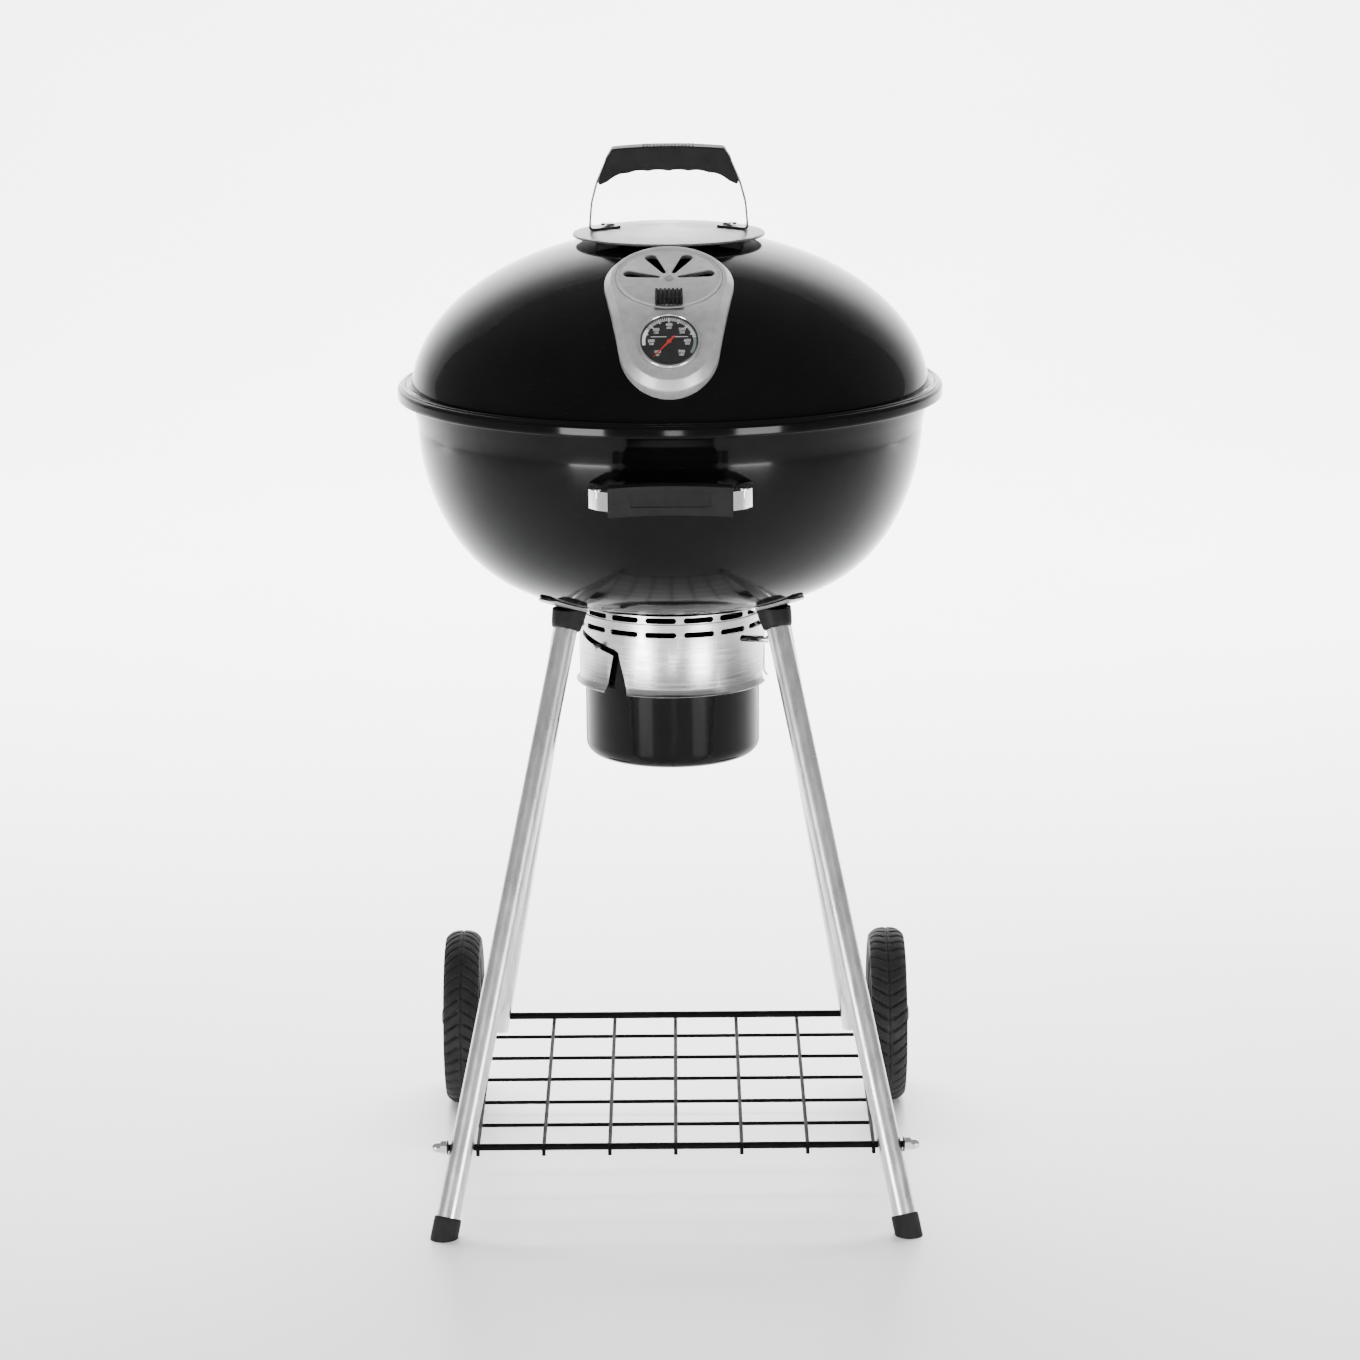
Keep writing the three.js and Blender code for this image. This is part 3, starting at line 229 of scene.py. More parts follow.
LOOKS = {
    "enamel": surface("black_enamel", grey(0.0012), grey(0.003), (0.07, 0.14), grain=9.0,
                      relief=(55.0, 0.02, 0.4), coat=0.02, gloss=0.12),
    "shield": surface("shield_stainless", grey(0.2), grey(0.3), (0.3, 0.42), 1.0, 40.0, (1, 18, 1),
                      (220.0, 0.1, 0.1), anisotropy=0.5, worn=grey(0.75)),
    "drum": surface("drum_stainless", grey(0.42), grey(0.58), (0.2, 0.3), 1.0, 22.0, (1, 1, 26),
                    (160.0, 0.05, 0.05), anisotropy=0.6, worn=grey(0.8)),
    "strap": surface("strap_stainless", grey(0.07), grey(0.12), (0.22, 0.34), 1.0, 40.0, (1, 12, 1),
                     (260.0, 0.1, 0.1), worn=grey(0.75)),
    "leg": surface("leg_tube", grey(0.6), grey(0.78), (0.24, 0.36), 1.0, 9.0, (14, 14, 0.6),
                   (90.0, 0.015, 0.05), worn=grey(0.85)),
    "cast": surface("cast_aluminium", grey(0.4), grey(0.5), (0.36, 0.46), 0.6, 120.0, (1, 1, 1),
                    (900.0, 0.14, 0.15), worn=grey(0.72)),
    "chrome": surface("bright_chrome", grey(0.62), grey(0.78), (0.06, 0.16), 1.0, 30.0, (1, 1, 1),
                      (160.0, 0.03, 0.1), worn=grey(0.9)),
    "plastic": surface("black_plastic", grey(0.003), grey(0.007), (0.5, 0.65), grain=50.0,
                       relief=(1500.0, 0.3, 0.12), worn=grey(0.012), gloss=0.25),
    "rubber": surface("black_rubber", grey(0.006), grey(0.014), (0.62, 0.85), grain=30.0,
                      relief=(800.0, 0.35, 0.15), worn=grey(0.02), gloss=0.3),
    "wire": surface("coated_wire", grey(0.002), grey(0.005), (0.45, 0.6), grain=70.0,
                    relief=(500.0, 0.1, 0.1), worn=grey(0.006), gloss=0.05),
    "iron": surface("grate_iron", grey(0.02), grey(0.05), (0.42, 0.62), 0.7, 60.0, (1, 1, 1),
                    (350.0, 0.35, 0.3), worn=grey(0.12)),
    "plate": surface("plated_steel", grey(0.16), grey(0.26), (0.3, 0.45), 0.9, 45.0, (1, 1, 1),
                     (300.0, 0.15, 0.15), worn=grey(0.5)),
    "dial": surface("dial_black", grey(0.006), grey(0.011), (0.35, 0.5), grain=160.0,
                    relief=(1500.0, 0.1, 0.05)),
    "print": surface("dial_print", grey(0.82), grey(0.9), (0.5, 0.6), grain=300.0,
                     relief=(1500.0, 0.1, 0.05)),
    "zone": surface("dial_zone", (0.17, 0.22, 0.19), (0.22, 0.28, 0.25), (0.5, 0.6), grain=300.0,
                    relief=(1500.0, 0.1, 0.05)),
    "red": surface("needle_red", (0.45, 0.02, 0.01), (0.6, 0.035, 0.02), (0.35, 0.5), grain=200.0,
                   relief=(900.0, 0.1, 0.05)),
    "glass": clear_glass(),
}


# ---------------- shape tools, mm
def add(name, data):
    item = bpy.data.objects.new(name, data)
    bpy.context.scene.collection.objects.link(item)
    return item


def moved(shape, matrix):
    shape.transform(matrix)
    return shape


def turned(shape, degrees, axis="Z"):
    return moved(shape, Matrix.Rotation(math.radians(degrees), 4, axis))


def circle(radius, count):
    return [(radius * math.cos(TURN * i / count), radius * math.sin(TURN * i / count)) for i in range(count)]


def shifted(outline, x, y):
    return [(x + a, y + b) for a, b in outline]


def finished(shape):
    bmesh.ops.recalc_face_normals(shape, faces=shape.faces)
    return shape


def bridge(shape, first, second):
    """Quads between two rings of as many points."""
    for i in range(len(first)):
        j = (i + 1) % len(first)
        shape.faces.new((first[i], first[j], second[j], second[i]))


def revolve(profile, segments=144):
    """Turns [radius, height] pairs about Z; a profile that starts off the axis is closed on itself."""
    shape = bmesh.new()
    rows = []
    for radius, height in profile:
        if radius < 1e-6:
            rows.append([shape.verts.new((0, 0, height))])
            continue
        rows.append([shape.verts.new((x, y, height)) for x, y in circle(radius, segments)])
    pairs = list(zip(rows, rows[1:]))
    if profile[0][0] > 1e-6:
        pairs.append((rows[-1], rows[0]))
    for lower, upper in pairs:
        for i in range(segments):
            j = (i + 1) % segments
            below = [lower[i % len(lower)], lower[j % len(lower)]]
            above = [upper[j % len(upper)], upper[i % len(upper)]]
            unique = list(dict.fromkeys(below + above))
            if len(unique) > 2:
                shape.faces.new(unique)
    return finished(shape)


def raise_faces(shape, faces, rise):
    raised = bmesh.ops.extrude_face_region(shape, geom=faces)
    bmesh.ops.translate(shape, vec=(0, 0, rise),
                        verts=[item for item in raised["geom"] if isinstance(item, bmesh.types.BMVert)])


def prism(outline, low, high):
    """A flat outline of [x, y] pairs raised from low to high."""
    shape = bmesh.new()
    base = shape.faces.new([shape.verts.new((x, y, low)) for x, y in outline])
    raise_faces(shape, [base], high - low)
    return finished(shape)


def upright_prism(outline, width):
    """An outline of [x, z] pairs given that width along Y, about the middle."""
    return turned(prism(outline, -width / 2, width / 2), 90, "X")


def brick(size, centre):
    shape = bmesh.new()
    bmesh.ops.create_cube(shape, size=1)
    shape.transform(Matrix.Translation(centre) @ Matrix.Diagonal((*size, 1)))
    return shape


def frame_between(start, end):
    """A turn and shift that carries the Z axis from the origin onto the line from start to end."""
    along = Vector(end) - Vector(start)
    return Matrix.Translation(start) @ along.to_track_quat("Z", "Y").to_matrix().to_4x4()


def sweep(points, radius, sides=20):
    """A round wire through the points, with closed ends."""
    route = [Vector(point) for point in points]
    shape = bmesh.new()
    rings = []
    tangents = []
    for i in range(len(route)):
        ahead = route[min(i + 1, len(route) - 1)] - route[max(i - 1, 0)]
        tangents.append(ahead.normalized())
    side = tangents[0].orthogonal().normalized()
    for point, tangent in zip(route, tangents):
        side = (side - tangent * side.dot(tangent)).normalized()
        other = tangent.cross(side)
        rings.append([shape.verts.new(point + (side * x + other * y) * radius) for x, y in circle(1, sides)])
    for first, second in zip(rings, rings[1:]):
        bridge(shape, first, second)
    shape.faces.new(rings[0][::-1])
    shape.faces.new(rings[-1])
    return finished(shape)


def arc(cx, cy, radius, start, end, steps):
    angles = [math.radians(start + (end - start) * i / steps) for i in range(steps + 1)]
    return [(cx + radius * math.cos(angle), cy + radius * math.sin(angle)) for angle in angles]


def fillet(points, radius, steps=6):
    """Rounds each inner corner of an open route of points in space."""
    route = [Vector(point) for point in points]
    rounded = [route[0]]
    for before, corner, after in zip(route, route[1:], route[2:]):
        back = (before - corner).normalized()
        forward = (after - corner).normalized()
        reach = min(radius, (before - corner).length * 0.45, (after - corner).length * 0.45)
        for i in range(steps + 1):
            share = i / steps
            start = corner + back * reach * (1 - share)
            end = corner + forward * reach * share
            rounded.append(start.lerp(end, share))
    rounded.append(route[-1])
    return rounded


def combined(*shapes):
    """Several shapes held in one mesh."""
    whole = bmesh.new()
    for shape in shapes:
        mesh = bpy.data.meshes.new("part")
        shape.to_mesh(mesh)
        whole.from_mesh(mesh)
        bpy.data.meshes.remove(mesh)
    return whole


def evaluated_shape(item):
    evaluated = item.evaluated_get(bpy.context.evaluated_depsgraph_get())
    shape = bmesh.new()
    shape.from_mesh(evaluated.to_mesh())
    evaluated.to_mesh_clear()
    return shape


def boolean(shape, others, operation):
    """The shape cut, joined or kept by the other shapes."""
    made = []
    for solid in (shape, *others):
        mesh = bpy.data.meshes.new("work")
        solid.to_mesh(mesh)
        made.append(add("work", mesh))
    for other in made[1:]:
        modifier = made[0].modifiers.new("work", "BOOLEAN")
        modifier.operation = operation
        modifier.solver = "EXACT"
        modifier.object = other
    result = evaluated_shape(made[0])
    for item in made:
        mesh = item.data
        bpy.data.objects.remove(item)
        bpy.data.meshes.remove(mesh)
    return result


def cut(shape, *others):
    return boolean(shape, others, "DIFFERENCE")


def piece(name, shape, look, body, nodes, bevel=0.0, local=None, sharp=32):
    """Sets a finished shape in the frame, on the body it rides on, and hides the CAD nodes it stands for."""
    shape.transform(FRAME @ (local or Matrix()))
    for face in shape.faces:
        face.smooth = True
    for edge in shape.edges:
        edge.smooth = len(edge.link_faces) != 2 or edge.calc_face_angle() < math.radians(sharp)
    mesh = bpy.data.meshes.new(name)
    shape.to_mesh(mesh)
    shape.free()
    mesh.materials.append(LOOKS[look])
    item = add(name, mesh)
    if bevel:
        modifier = item.modifiers.new("edges", "BEVEL")
        modifier.width = bevel * 0.001
        modifier.segments = 3
        modifier.limit_method = "ANGLE"
        modifier.angle_limit = math.radians(35)
        modifier.harden_normals = True
    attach(item, body)
    if nodes:
        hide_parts(*nodes)


# ---------------- bowl and lid curves
def lid_arc(offset, steps):
    last = math.asin((LIP_TOP - 3 - LID_BASE) / (LID_RISE + offset))
    points = []
    for i in range(steps + 1):
        angle = math.pi / 2 + (last - math.pi / 2) * i / steps
        radius = (LID_RADIUS + offset) * math.cos(angle) if i else 0.0
        points.append((radius, LID_BASE + (LID_RISE + offset) * math.sin(angle)))
    return points


def bowl_radius(height, offset=0.0):
    drop = min(max((BOWL_EQUATOR - height) / (BOWL_DEPTH + offset), 0), 1)
    return (BOWL_RADIUS + offset) * (1 - drop ** BOWL_FULLNESS) ** (1 / BOWL_ROUNDNESS)


def bowl_height(radius, offset=0.0):
    share = radius / (BOWL_RADIUS + offset)
    return BOWL_EQUATOR - (BOWL_DEPTH + offset) * (1 - share ** BOWL_ROUNDNESS) ** (1 / BOWL_FULLNESS)


def bowl_arc(offset, steps):
    flat = [BOWL_MOUTH + (BOWL_FLAT_END - BOWL_MOUTH) * i / 10 for i in range(10)]
    low = bowl_height(BOWL_FLAT_END, offset)
    wall = [low + (BOWL_EQUATOR - low) * (i / steps) ** 1.4 for i in range(steps + 1)]
    return [(radius, bowl_height(radius, offset)) for radius in flat] + [
        (bowl_radius(height, offset), height) for height in wall]


def filled_bowl(offset):
    return revolve([(0, bowl_height(0, offset)), *bowl_arc(offset, 40),
                    (BOWL_RADIUS + offset, BOWL_TOP), (0, BOWL_TOP)], 120)


def filled_lid(offset):
    return revolve([*lid_arc(offset, 60), (0, LIP_TOP - 3)], 144)


def tilt_frame(y, z, degrees):
    return Matrix.Translation((0, y, z)) @ Matrix.Rotation(math.radians(degrees), 4, "X")


def housing_path(distance):
    """The point on the vent housing's top surface that far down from the damper's centre."""
    def along(point, degrees, length):
        angle = math.radians(degrees)
        return (point[0] - math.cos(angle) * length, point[1] - math.sin(angle) * length)

    turn = DIAL_TILT - VENT_TILT
    arc_length = math.radians(turn) * BEND_RADIUS
    if distance <= BEND_START:
        return along((VENT_Y, VENT_Z), VENT_TILT, distance)
    past = distance - BEND_START
    turned = turn * min(past / arc_length, 1)
    corner = along((VENT_Y, VENT_Z), VENT_TILT, BEND_START)
    point = along(corner, VENT_TILT + turned / 2, 2 * BEND_RADIUS * math.sin(math.radians(turned / 2)))
    return along(point, DIAL_TILT, past - arc_length) if past > arc_length else point


VENT_FRAME = tilt_frame(VENT_Y, VENT_Z, VENT_TILT)
DIAL_FRAME = tilt_frame(*housing_path(DIAL_DISTANCE), DIAL_TILT)


def disc(radius, low, high, segments=96):
    return revolve([(0, low), (radius, low), (radius, high), (0, high)], segments)


# ---------------- lid
def lid():
    lip = shifted([
        (-13.5, -2.4), (-11.5, -1.1), (-9.5, -1.3), (-8.7, -2.0), (-7.5, -0.6), (-5.3, -0.4),
        (-3.9, -1.2), (-3.3, -2.4), *arc(-5.0, -6.8, 5.0, 50, 0, 8),
        (0, -12.5), *arc(-1.5, -14.6, 1.5, 0, -180, 6), (-3.0, -8.4),
    ], LIP_RADIUS, LIP_TOP)
    shell = revolve([*lid_arc(0, 72), *lip, *lid_arc(-WALL, 60)[::-1]], 192)
    vent_hole = moved(disc(VENT_HOLE, -60, 20), VENT_FRAME)
    probe_hole = moved(disc(5, -60, 20, 24), DIAL_FRAME)
    piece("lid_dome", cut(shell, vent_hole, probe_hole), "enamel", "lid", ["lid_shell"])


def shield_height(radius):
    return SHIELD_EDGE + SHIELD_RISE * (1 - (radius / SHIELD_RADIUS) ** 2)


def heat_shield():
    top = [(SHIELD_RADIUS * i / 24, shield_height(SHIELD_RADIUS * i / 24)) for i in range(25)]
    rolled = shifted([(0.6, -0.8), (0.9, -1.8), (0.4, -2.8), (-0.4, -3.1)], SHIELD_RADIUS, SHIELD_EDGE)
    under = [(radius * 0.99, height - SHIELD_THICKNESS) for radius, height in top[::-1]]
    plate = revolve([*top, *rolled, *under], 160)
    holes = [moved(disc(BOLT_HOLE, SHIELD_EDGE - 8, SHIELD_EDGE + 22, 24),
                   Matrix.Translation((side * BOLT_X, 0, 0))) for side, _ in SIDES]
    piece("shield_disc", cut(plate, *holes), "shield", "lid", ["heat_shield_disc"])
    for side, word in SIDES:
        block = brick(SPACER_SIZE, (side * BOLT_X, 0, SHIELD_EDGE))
        above = revolve([*shifted(top, 0, -SHIELD_THICKNESS - GAP), (SHIELD_RADIUS, ABOVE_SHIELD),
                         (0, ABOVE_SHIELD)], 96)
        rim = revolve([(SPACER_REACH, ABOVE_SHIELD), (SPACER_REACH, SHIELD_EDGE - 4),
                       (SHIELD_RADIUS + 4, SHIELD_EDGE - 4), (SHIELD_RADIUS + 4, ABOVE_SHIELD)], 96)
        piece(f"spacer_{word}", cut(block, above, rim, filled_lid(GAP)), "plastic", "lid",
              [f"shield_spacer_{word}"])


def bail_side(inset):
    """Half of the bail's side view: foot, rounded heel, and the post that bows in under the grip."""
    outside = BAIL_FOOT - inset
    route = fillet([
        (BOLT_X - 14, 0, BAIL_HEEL + inset), (outside, 0, BAIL_HEEL - 3.5 + inset),
        (outside - 2.5, 0, BAIL_TOP - 51), (outside - 8.5, 0, BAIL_TOP - 29),
        (outside - 21, 0, BAIL_TOP - inset), (BAIL_FOOT - 28, 0, BAIL_TOP - inset),
    ], 5)
    return [(point.x, point.z) for point in route]


def mirrored(outline):
    return [(-x, height) for x, height in outline][::-1]


def lid_handle():
    outer, inner = bail_side(0), bail_side(BAIL_SHEET)[::-1]
    strap = upright_prism([*outer, *mirrored(outer), *mirrored(inner), *inner], BAIL_WIDTH)
    piece("bail_strap", strap, "strap", "lid", ["lid_handle_strap"], bevel=0.5)

    top = []
    for i in range(31):
        across = 1 - 2 * i / 30
        top.append((HOLD_TOP_HALF * across, HOLD_CROWN - HOLD_DROOP * across ** 2))
    scallops = []
    for i in range(73):
        x = -HOLD_HALF + 2 * HOLD_HALF * i / 72
        sag = (x / HOLD_HALF) ** 4 * HOLD_SAG
        scallops.append((x, HOLD_UNDER - sag + SCALLOP_DEPTH * abs(math.sin(x * math.pi / SCALLOP_PITCH))))
    right = shifted([(2.5, 13.2), (5.5, 4.2), (11, -11.8), (9.5, -15.3), (6, -13.8)], HOLD_HALF, HOLD_UNDER)
    left = mirrored(right)[::-1]
    body = upright_prism([*top, *left, *scallops, *right[::-1]], HOLD_WIDTH)
    piece("bail_grip", body, "plastic", "lid", ["lid_handle_grip"], bevel=4.0)
    ribs = []
    for i in range(RIB_COUNT):
        x = -RIB_HALF + 2 * RIB_HALF * i / (RIB_COUNT - 1)
        line = [(x, y, HOLD_CROWN + rise) for y, rise in ((-13, -0.8), (-6, 0.1), (6, 0.1), (13, -0.8))]
        ribs.append(sweep(line, RIB_RADIUS, 12))
    piece("bail_grip_ribs", combined(*ribs), "plastic", "lid", [])
    for side, word in SIDES:
        head = revolve(shifted([(0, -10.1), (3, -10.1), (3, 0), (8.0, 0), (8.0, 1.1), (7.2, 2.1),
                                (4.4, 2.7), (0, 2.8)], 0, BOLT_SEAT), 48)
        piece(f"bail_bolt_{word}", moved(head, Matrix.Translation((side * BOLT_X, 0, 0))), "chrome", "lid",
              [f"lid_handle_bolt_{word}"])


# ---------------- vent and thermometer
def teardrop(inset):
    """The housing's outline: half widths at each distance down from the damper's centre."""
    upper, lower = HOUSING_UPPER - inset, HOUSING_LOWER - inset
    lean = math.asin((upper - lower) / DIAL_DISTANCE)
    top = [(upper * math.cos(a), upper * math.sin(a))
           for a in (-math.pi / 2 + (lean + math.pi / 2) * i / 30 for i in range(31))]
    bottom = [(lower * math.cos(a), DIAL_DISTANCE + lower * math.sin(a))
              for a in (lean + (math.pi / 2 - lean) * i / 24 for i in range(25))]
    start, end = top[-1], bottom[0]
    sides = []
    for i in range(1, 24):
        share = i / 24
        sides.append((start[0] + (end[0] - start[0]) * share, start[1] + (end[1] - start[1]) * share))
    return [(max(half, 0.0), distance) for half, distance in (*top, *sides, *bottom)]


def bent_prism(levels):
    """A body whose levels of [inset, height] follow the housing's bent top surface."""
    mean = math.radians((VENT_TILT + DIAL_TILT) / 2)
    shape = bmesh.new()
    rings = []
    for inset, height in levels:
        outline = teardrop(inset)
        loop = outline + [(-half, distance) for half, distance in outline[1:-1][::-1]]
        ring = []
        for x, distance in loop:
            y, z = housing_path(distance)
            ring.append(shape.verts.new((x, y - math.sin(mean) * height, z + math.cos(mean) * height)))
        rings.append(ring)
    count = len(rings[0])
    for lower, upper in zip(rings, rings[1:]):
        bridge(shape, lower, upper)
    for ring in (rings[0], rings[-1]):
        for i in range(count // 2):
            across = (ring[i], ring[i + 1], ring[(count - i - 1) % count], ring[(count - i) % count])
            unique = list(dict.fromkeys(across))
            if len(unique) > 2:
                shape.faces.new(unique)
    return finished(shape)


def air_slot(degrees, low, high, wider=0.0):
    outline = [*arc(0, SLOT_FAR, SLOT_FAR_ROUND + wider, -8, 188, 20),
               *arc(0, SLOT_NEAR, SLOT_NEAR_ROUND + wider, 188, 352, 10)]
    return turned(prism(outline, low, high), degrees)


def vent_housing():
    shell = bent_prism([(0, -44), (0, -10), (0.3, -8.9), (1.1, -8.0), (6.2, -1.1), (7.0, -0.3), (8.0, 0)])
    hollow = bent_prism([(9, -49), (9, -6)])
    recess = moved(disc(RECESS_RADIUS, -RECESS_DEPTH, 12), VENT_FRAME)
    notch = moved(brick((31, 6, 12), (0, -57.5, 3.6)), VENT_FRAME)
    rivet_hole = moved(disc(2.9, -12, 10, 24), VENT_FRAME)
    probe_hole = moved(disc(3.6, -20, 10, 24), DIAL_FRAME)
    slots = [moved(air_slot(angle, -14, 5, 3.2), VENT_FRAME) for angle in SLOT_ANGLES]
    body = cut(shell, hollow, filled_lid(GAP), recess, notch, rivet_hole, probe_hole, *slots)
    piece("vent_cover", body, "cast", "lid", ["vent_housing"], sharp=24)


def damper():
    rim = shifted([(0, 0), (-0.6, 0.5), (-3.4, 0.5), (-3.9, 0.2), (-4.4, 0.2), (-4.9, 0.5)], DISC_RADIUS, 0)
    plate = revolve([(0, -0.9), (DISC_RADIUS, -0.9), *rim, (0, 0.5)], 128)
    slots = [air_slot(angle, -4, 4, 0.9) for angle in SLOT_ANGLES]
    body = cut(plate, *slots, disc(3.1, -4, 4, 24))
    piece("damper_disc", body, "cast", "damper", ["vent_damper"], local=VENT_FRAME)
    corners = [(-THUMB_HALF, -THUMB_OUTER), (THUMB_HALF, -THUMB_OUTER), (THUMB_HALF, -THUMB_INNER),
               (-THUMB_HALF, -THUMB_INNER)]
    piece("damper_thumb_block", prism(corners, 0.8, THUMB_TOP), "plastic", "damper", ["damper_knob"],
          bevel=1.2, local=VENT_FRAME)
    outer, inner = -THUMB_OUTER, -THUMB_INNER
    ribs = []
    for i in range(THUMB_RIBS):
        x = THUMB_RIB_PITCH * (i - (THUMB_RIBS - 1) / 2)
        ribs.append(sweep([
            (x, outer - 0.8, 2), (x, outer - 0.8, THUMB_TOP - 1.4), (x, outer + 0.4, THUMB_TOP),
            (x, inner - 0.4, THUMB_TOP), (x, inner + 0.8, THUMB_TOP - 1.4), (x, inner + 0.8, 2),
        ], THUMB_RIB_RADIUS, 12))
    piece("damper_thumb_ribs", combined(*ribs), "plastic", "damper", [], local=VENT_FRAME)
    rivet = revolve([(0, -7), (2.4, -7), (2.4, 0.7), (5.2, 0.7), (5.2, 1.3),
                     *arc(0, -1.6, 5.6, 32, 84, 10), (0, 4.0)], 48)
    piece("damper_rivet_head", rivet, "chrome", "lid", ["damper_rivet"], local=VENT_FRAME)


def dial_number(text, x, y, size):
    curve = bpy.data.curves.new("number", "FONT")
    curve.body = text
    curve.size = size
    curve.align_x = "CENTER"
    curve.align_y = "CENTER"
    item = add("number", curve)
    shape = evaluated_shape(item)
    bpy.data.objects.remove(item)
    bpy.data.curves.remove(curve)
    raise_faces(shape, shape.faces[:], 0.12)
    return moved(shape, Matrix.Translation((x, y, DIAL_TOP + 0.02)))


def dial_bar(degrees, inner, outer, width):
    bar = brick((width, outer - inner, PRINT_RISE), (0, (inner + outer) / 2, PRINT_Z))
    return turned(bar, degrees)


def dial_band(start, end, inner):
    outline = [*arc(0, 0, BAND_OUTER, start, end, 24), *arc(0, 0, inner, end, start, 24)]
    return prism(outline, DIAL_TOP, DIAL_TOP + 0.12)


def dial_marks():
    """Ticks, two rings of numbers, the two short rules and the low band."""
    marks = []
    for i in range(13, 48):
        long_tick = i % 5 == 0
        marks.append(dial_bar(SCALE_START - SCALE_SWEEP * i / SCALE_STEPS, 23.4 if long_tick else 25.0,
                              SCALE_END, 1.1 if long_tick else 0.75))
    for i in range(7):
        angle = math.radians(SCALE_START - SCALE_SWEEP * i / 6 + 90)
        x, y = NUMBER_CIRCLE * math.cos(angle), NUMBER_CIRCLE * math.sin(angle)
        marks.append(dial_number(str(100 + 100 * i), x, y + 1.5, 4.9))
        marks.append(dial_number(str(50 + 50 * i), x, y - 2.4, 3.7))
    for side, _ in SIDES:
        marks.append(brick((17, 0.5, PRINT_RISE), (side * 11.2, 5.6, PRINT_Z)))
    return combined(*marks, dial_band(148, 190, 25.2))


def thermometer():
    bezel = revolve([(BEZEL_INNER, 0.4), (BEZEL_OUTER - 0.2, 0.4), (BEZEL_OUTER, 1.0), (BEZEL_OUTER, 3.2),
                     *arc(BEZEL_OUTER - BEZEL_ROUND, 3.3, BEZEL_ROUND, 0, 150, 10),
                     (BEZEL_INNER - 0.4, 3.0), (BEZEL_INNER - 0.4, 1.8)], 96)
    piece("thermometer_rim", bezel, "chrome", "lid", ["thermometer_bezel"], local=DIAL_FRAME)
    face = revolve([(0, 0.5), (GLASS_RADIUS, 0.5), (GLASS_RADIUS, DIAL_TOP - 0.1),
                    (GLASS_RADIUS - 0.5, DIAL_TOP), (0, DIAL_TOP)], 96)
    piece("thermometer_face", face, "dial", "lid", ["thermometer_dial"], local=DIAL_FRAME)
    piece("thermometer_marks", dial_marks(), "print", "lid", [], local=DIAL_FRAME)
    piece("thermometer_zone", dial_band(-32, 42, 25.4), "zone", "lid", [], local=DIAL_FRAME)
    glass = revolve([(0, 3.3), (GLASS_RADIUS, 3.3), (GLASS_RADIUS, 3.9), (0, 4.3)], 96)
    piece("thermometer_window", glass, "glass", "lid", ["thermometer_glass"], local=DIAL_FRAME)
    right = [(1.0, -8.5), (1.15, 0), (0.25, 25.5)]
    needle = prism([(-1.0, -8.5), *right, *mirrored(right)[:-1]], 2.0, 2.45)
    hub = revolve([(0, 1.9), (2.3, 1.9), (2.3, 2.6), (1.6, 2.95), (0, 3.0)], 32)
    at_start = DIAL_FRAME @ Matrix.Rotation(math.radians(SCALE_START), 4, "Z")
    piece("thermometer_pointer", combined(needle, hub), "red", "needle", ["thermometer_needle"],
          local=at_start)
    probe = revolve([(0, -75), (1.6, -74.4), (3, -71.5), (3, 0.1), (0, 0.1)], 32)
    piece("thermometer_stem", probe, "strap", "lid", ["thermometer_probe"], local=DIAL_FRAME)


# ---------------- bowl and grates
def bowl():
    bead = shifted([
        (-12.4, -21.8), (-10.8, -14.8), (-9.6, -8.3), (-8.4, -4.8), (-5.6, -3.2),
        *arc(0, 0, BEAD_ROUND, -80, 90, 10),
        (-5.6, 3.2), (-9.0, 2.0), (-11.2, -0.8), (-11.6, -8.8), (-13.2, -17.8),
    ], BEAD_REACH, BEAD_Z)
    shell = revolve([*bowl_arc(0, 60), *bead, *bowl_arc(-WALL, 50)[::-1]], 192)
    tabs = []
    for degrees in (45, 135, 225, 315):
        for reach, height, length in (COOKING_TABS, CHARCOAL_TABS):
            tabs.append(turned(brick((length, *TAB_SIZE), (reach, 0, height)), degrees))
    piece("bowl", combined(shell, *tabs), "enamel", "stand", ["bowl_shell"])


def grate(name, node, radius, height, count, wire):
    half = wire / 2
    hoop = [(x, y, height) for x, y in circle(radius - half, 96)]
    shapes = [sweep([*hoop, hoop[0]], half, 14)]
    spacing = 2 * (radius - wire) / (count + 1)
    for i in range(count):
        x = (i - (count - 1) / 2) * spacing
        reach = math.sqrt((radius - half) ** 2 - x * x) - half
        shapes.append(sweep([(x, -reach, height + 0.4), (x, reach, height + 0.4)], half * 0.96, 14))
    for side, _ in SIDES:
        y = side * radius * 0.45
        reach = math.sqrt((radius - half) ** 2 - y * y) - half
        shapes.append(sweep([(-reach, y, height - half), (reach, y, height - half)], half * 0.96, 14))
    piece(name, combined(*shapes), "iron", "stand", [node])


# ---------------- front handle
def grip_edge(x, height):
    return x, height - GRIP_ARCH * (x / GRIP_HALF) ** 2


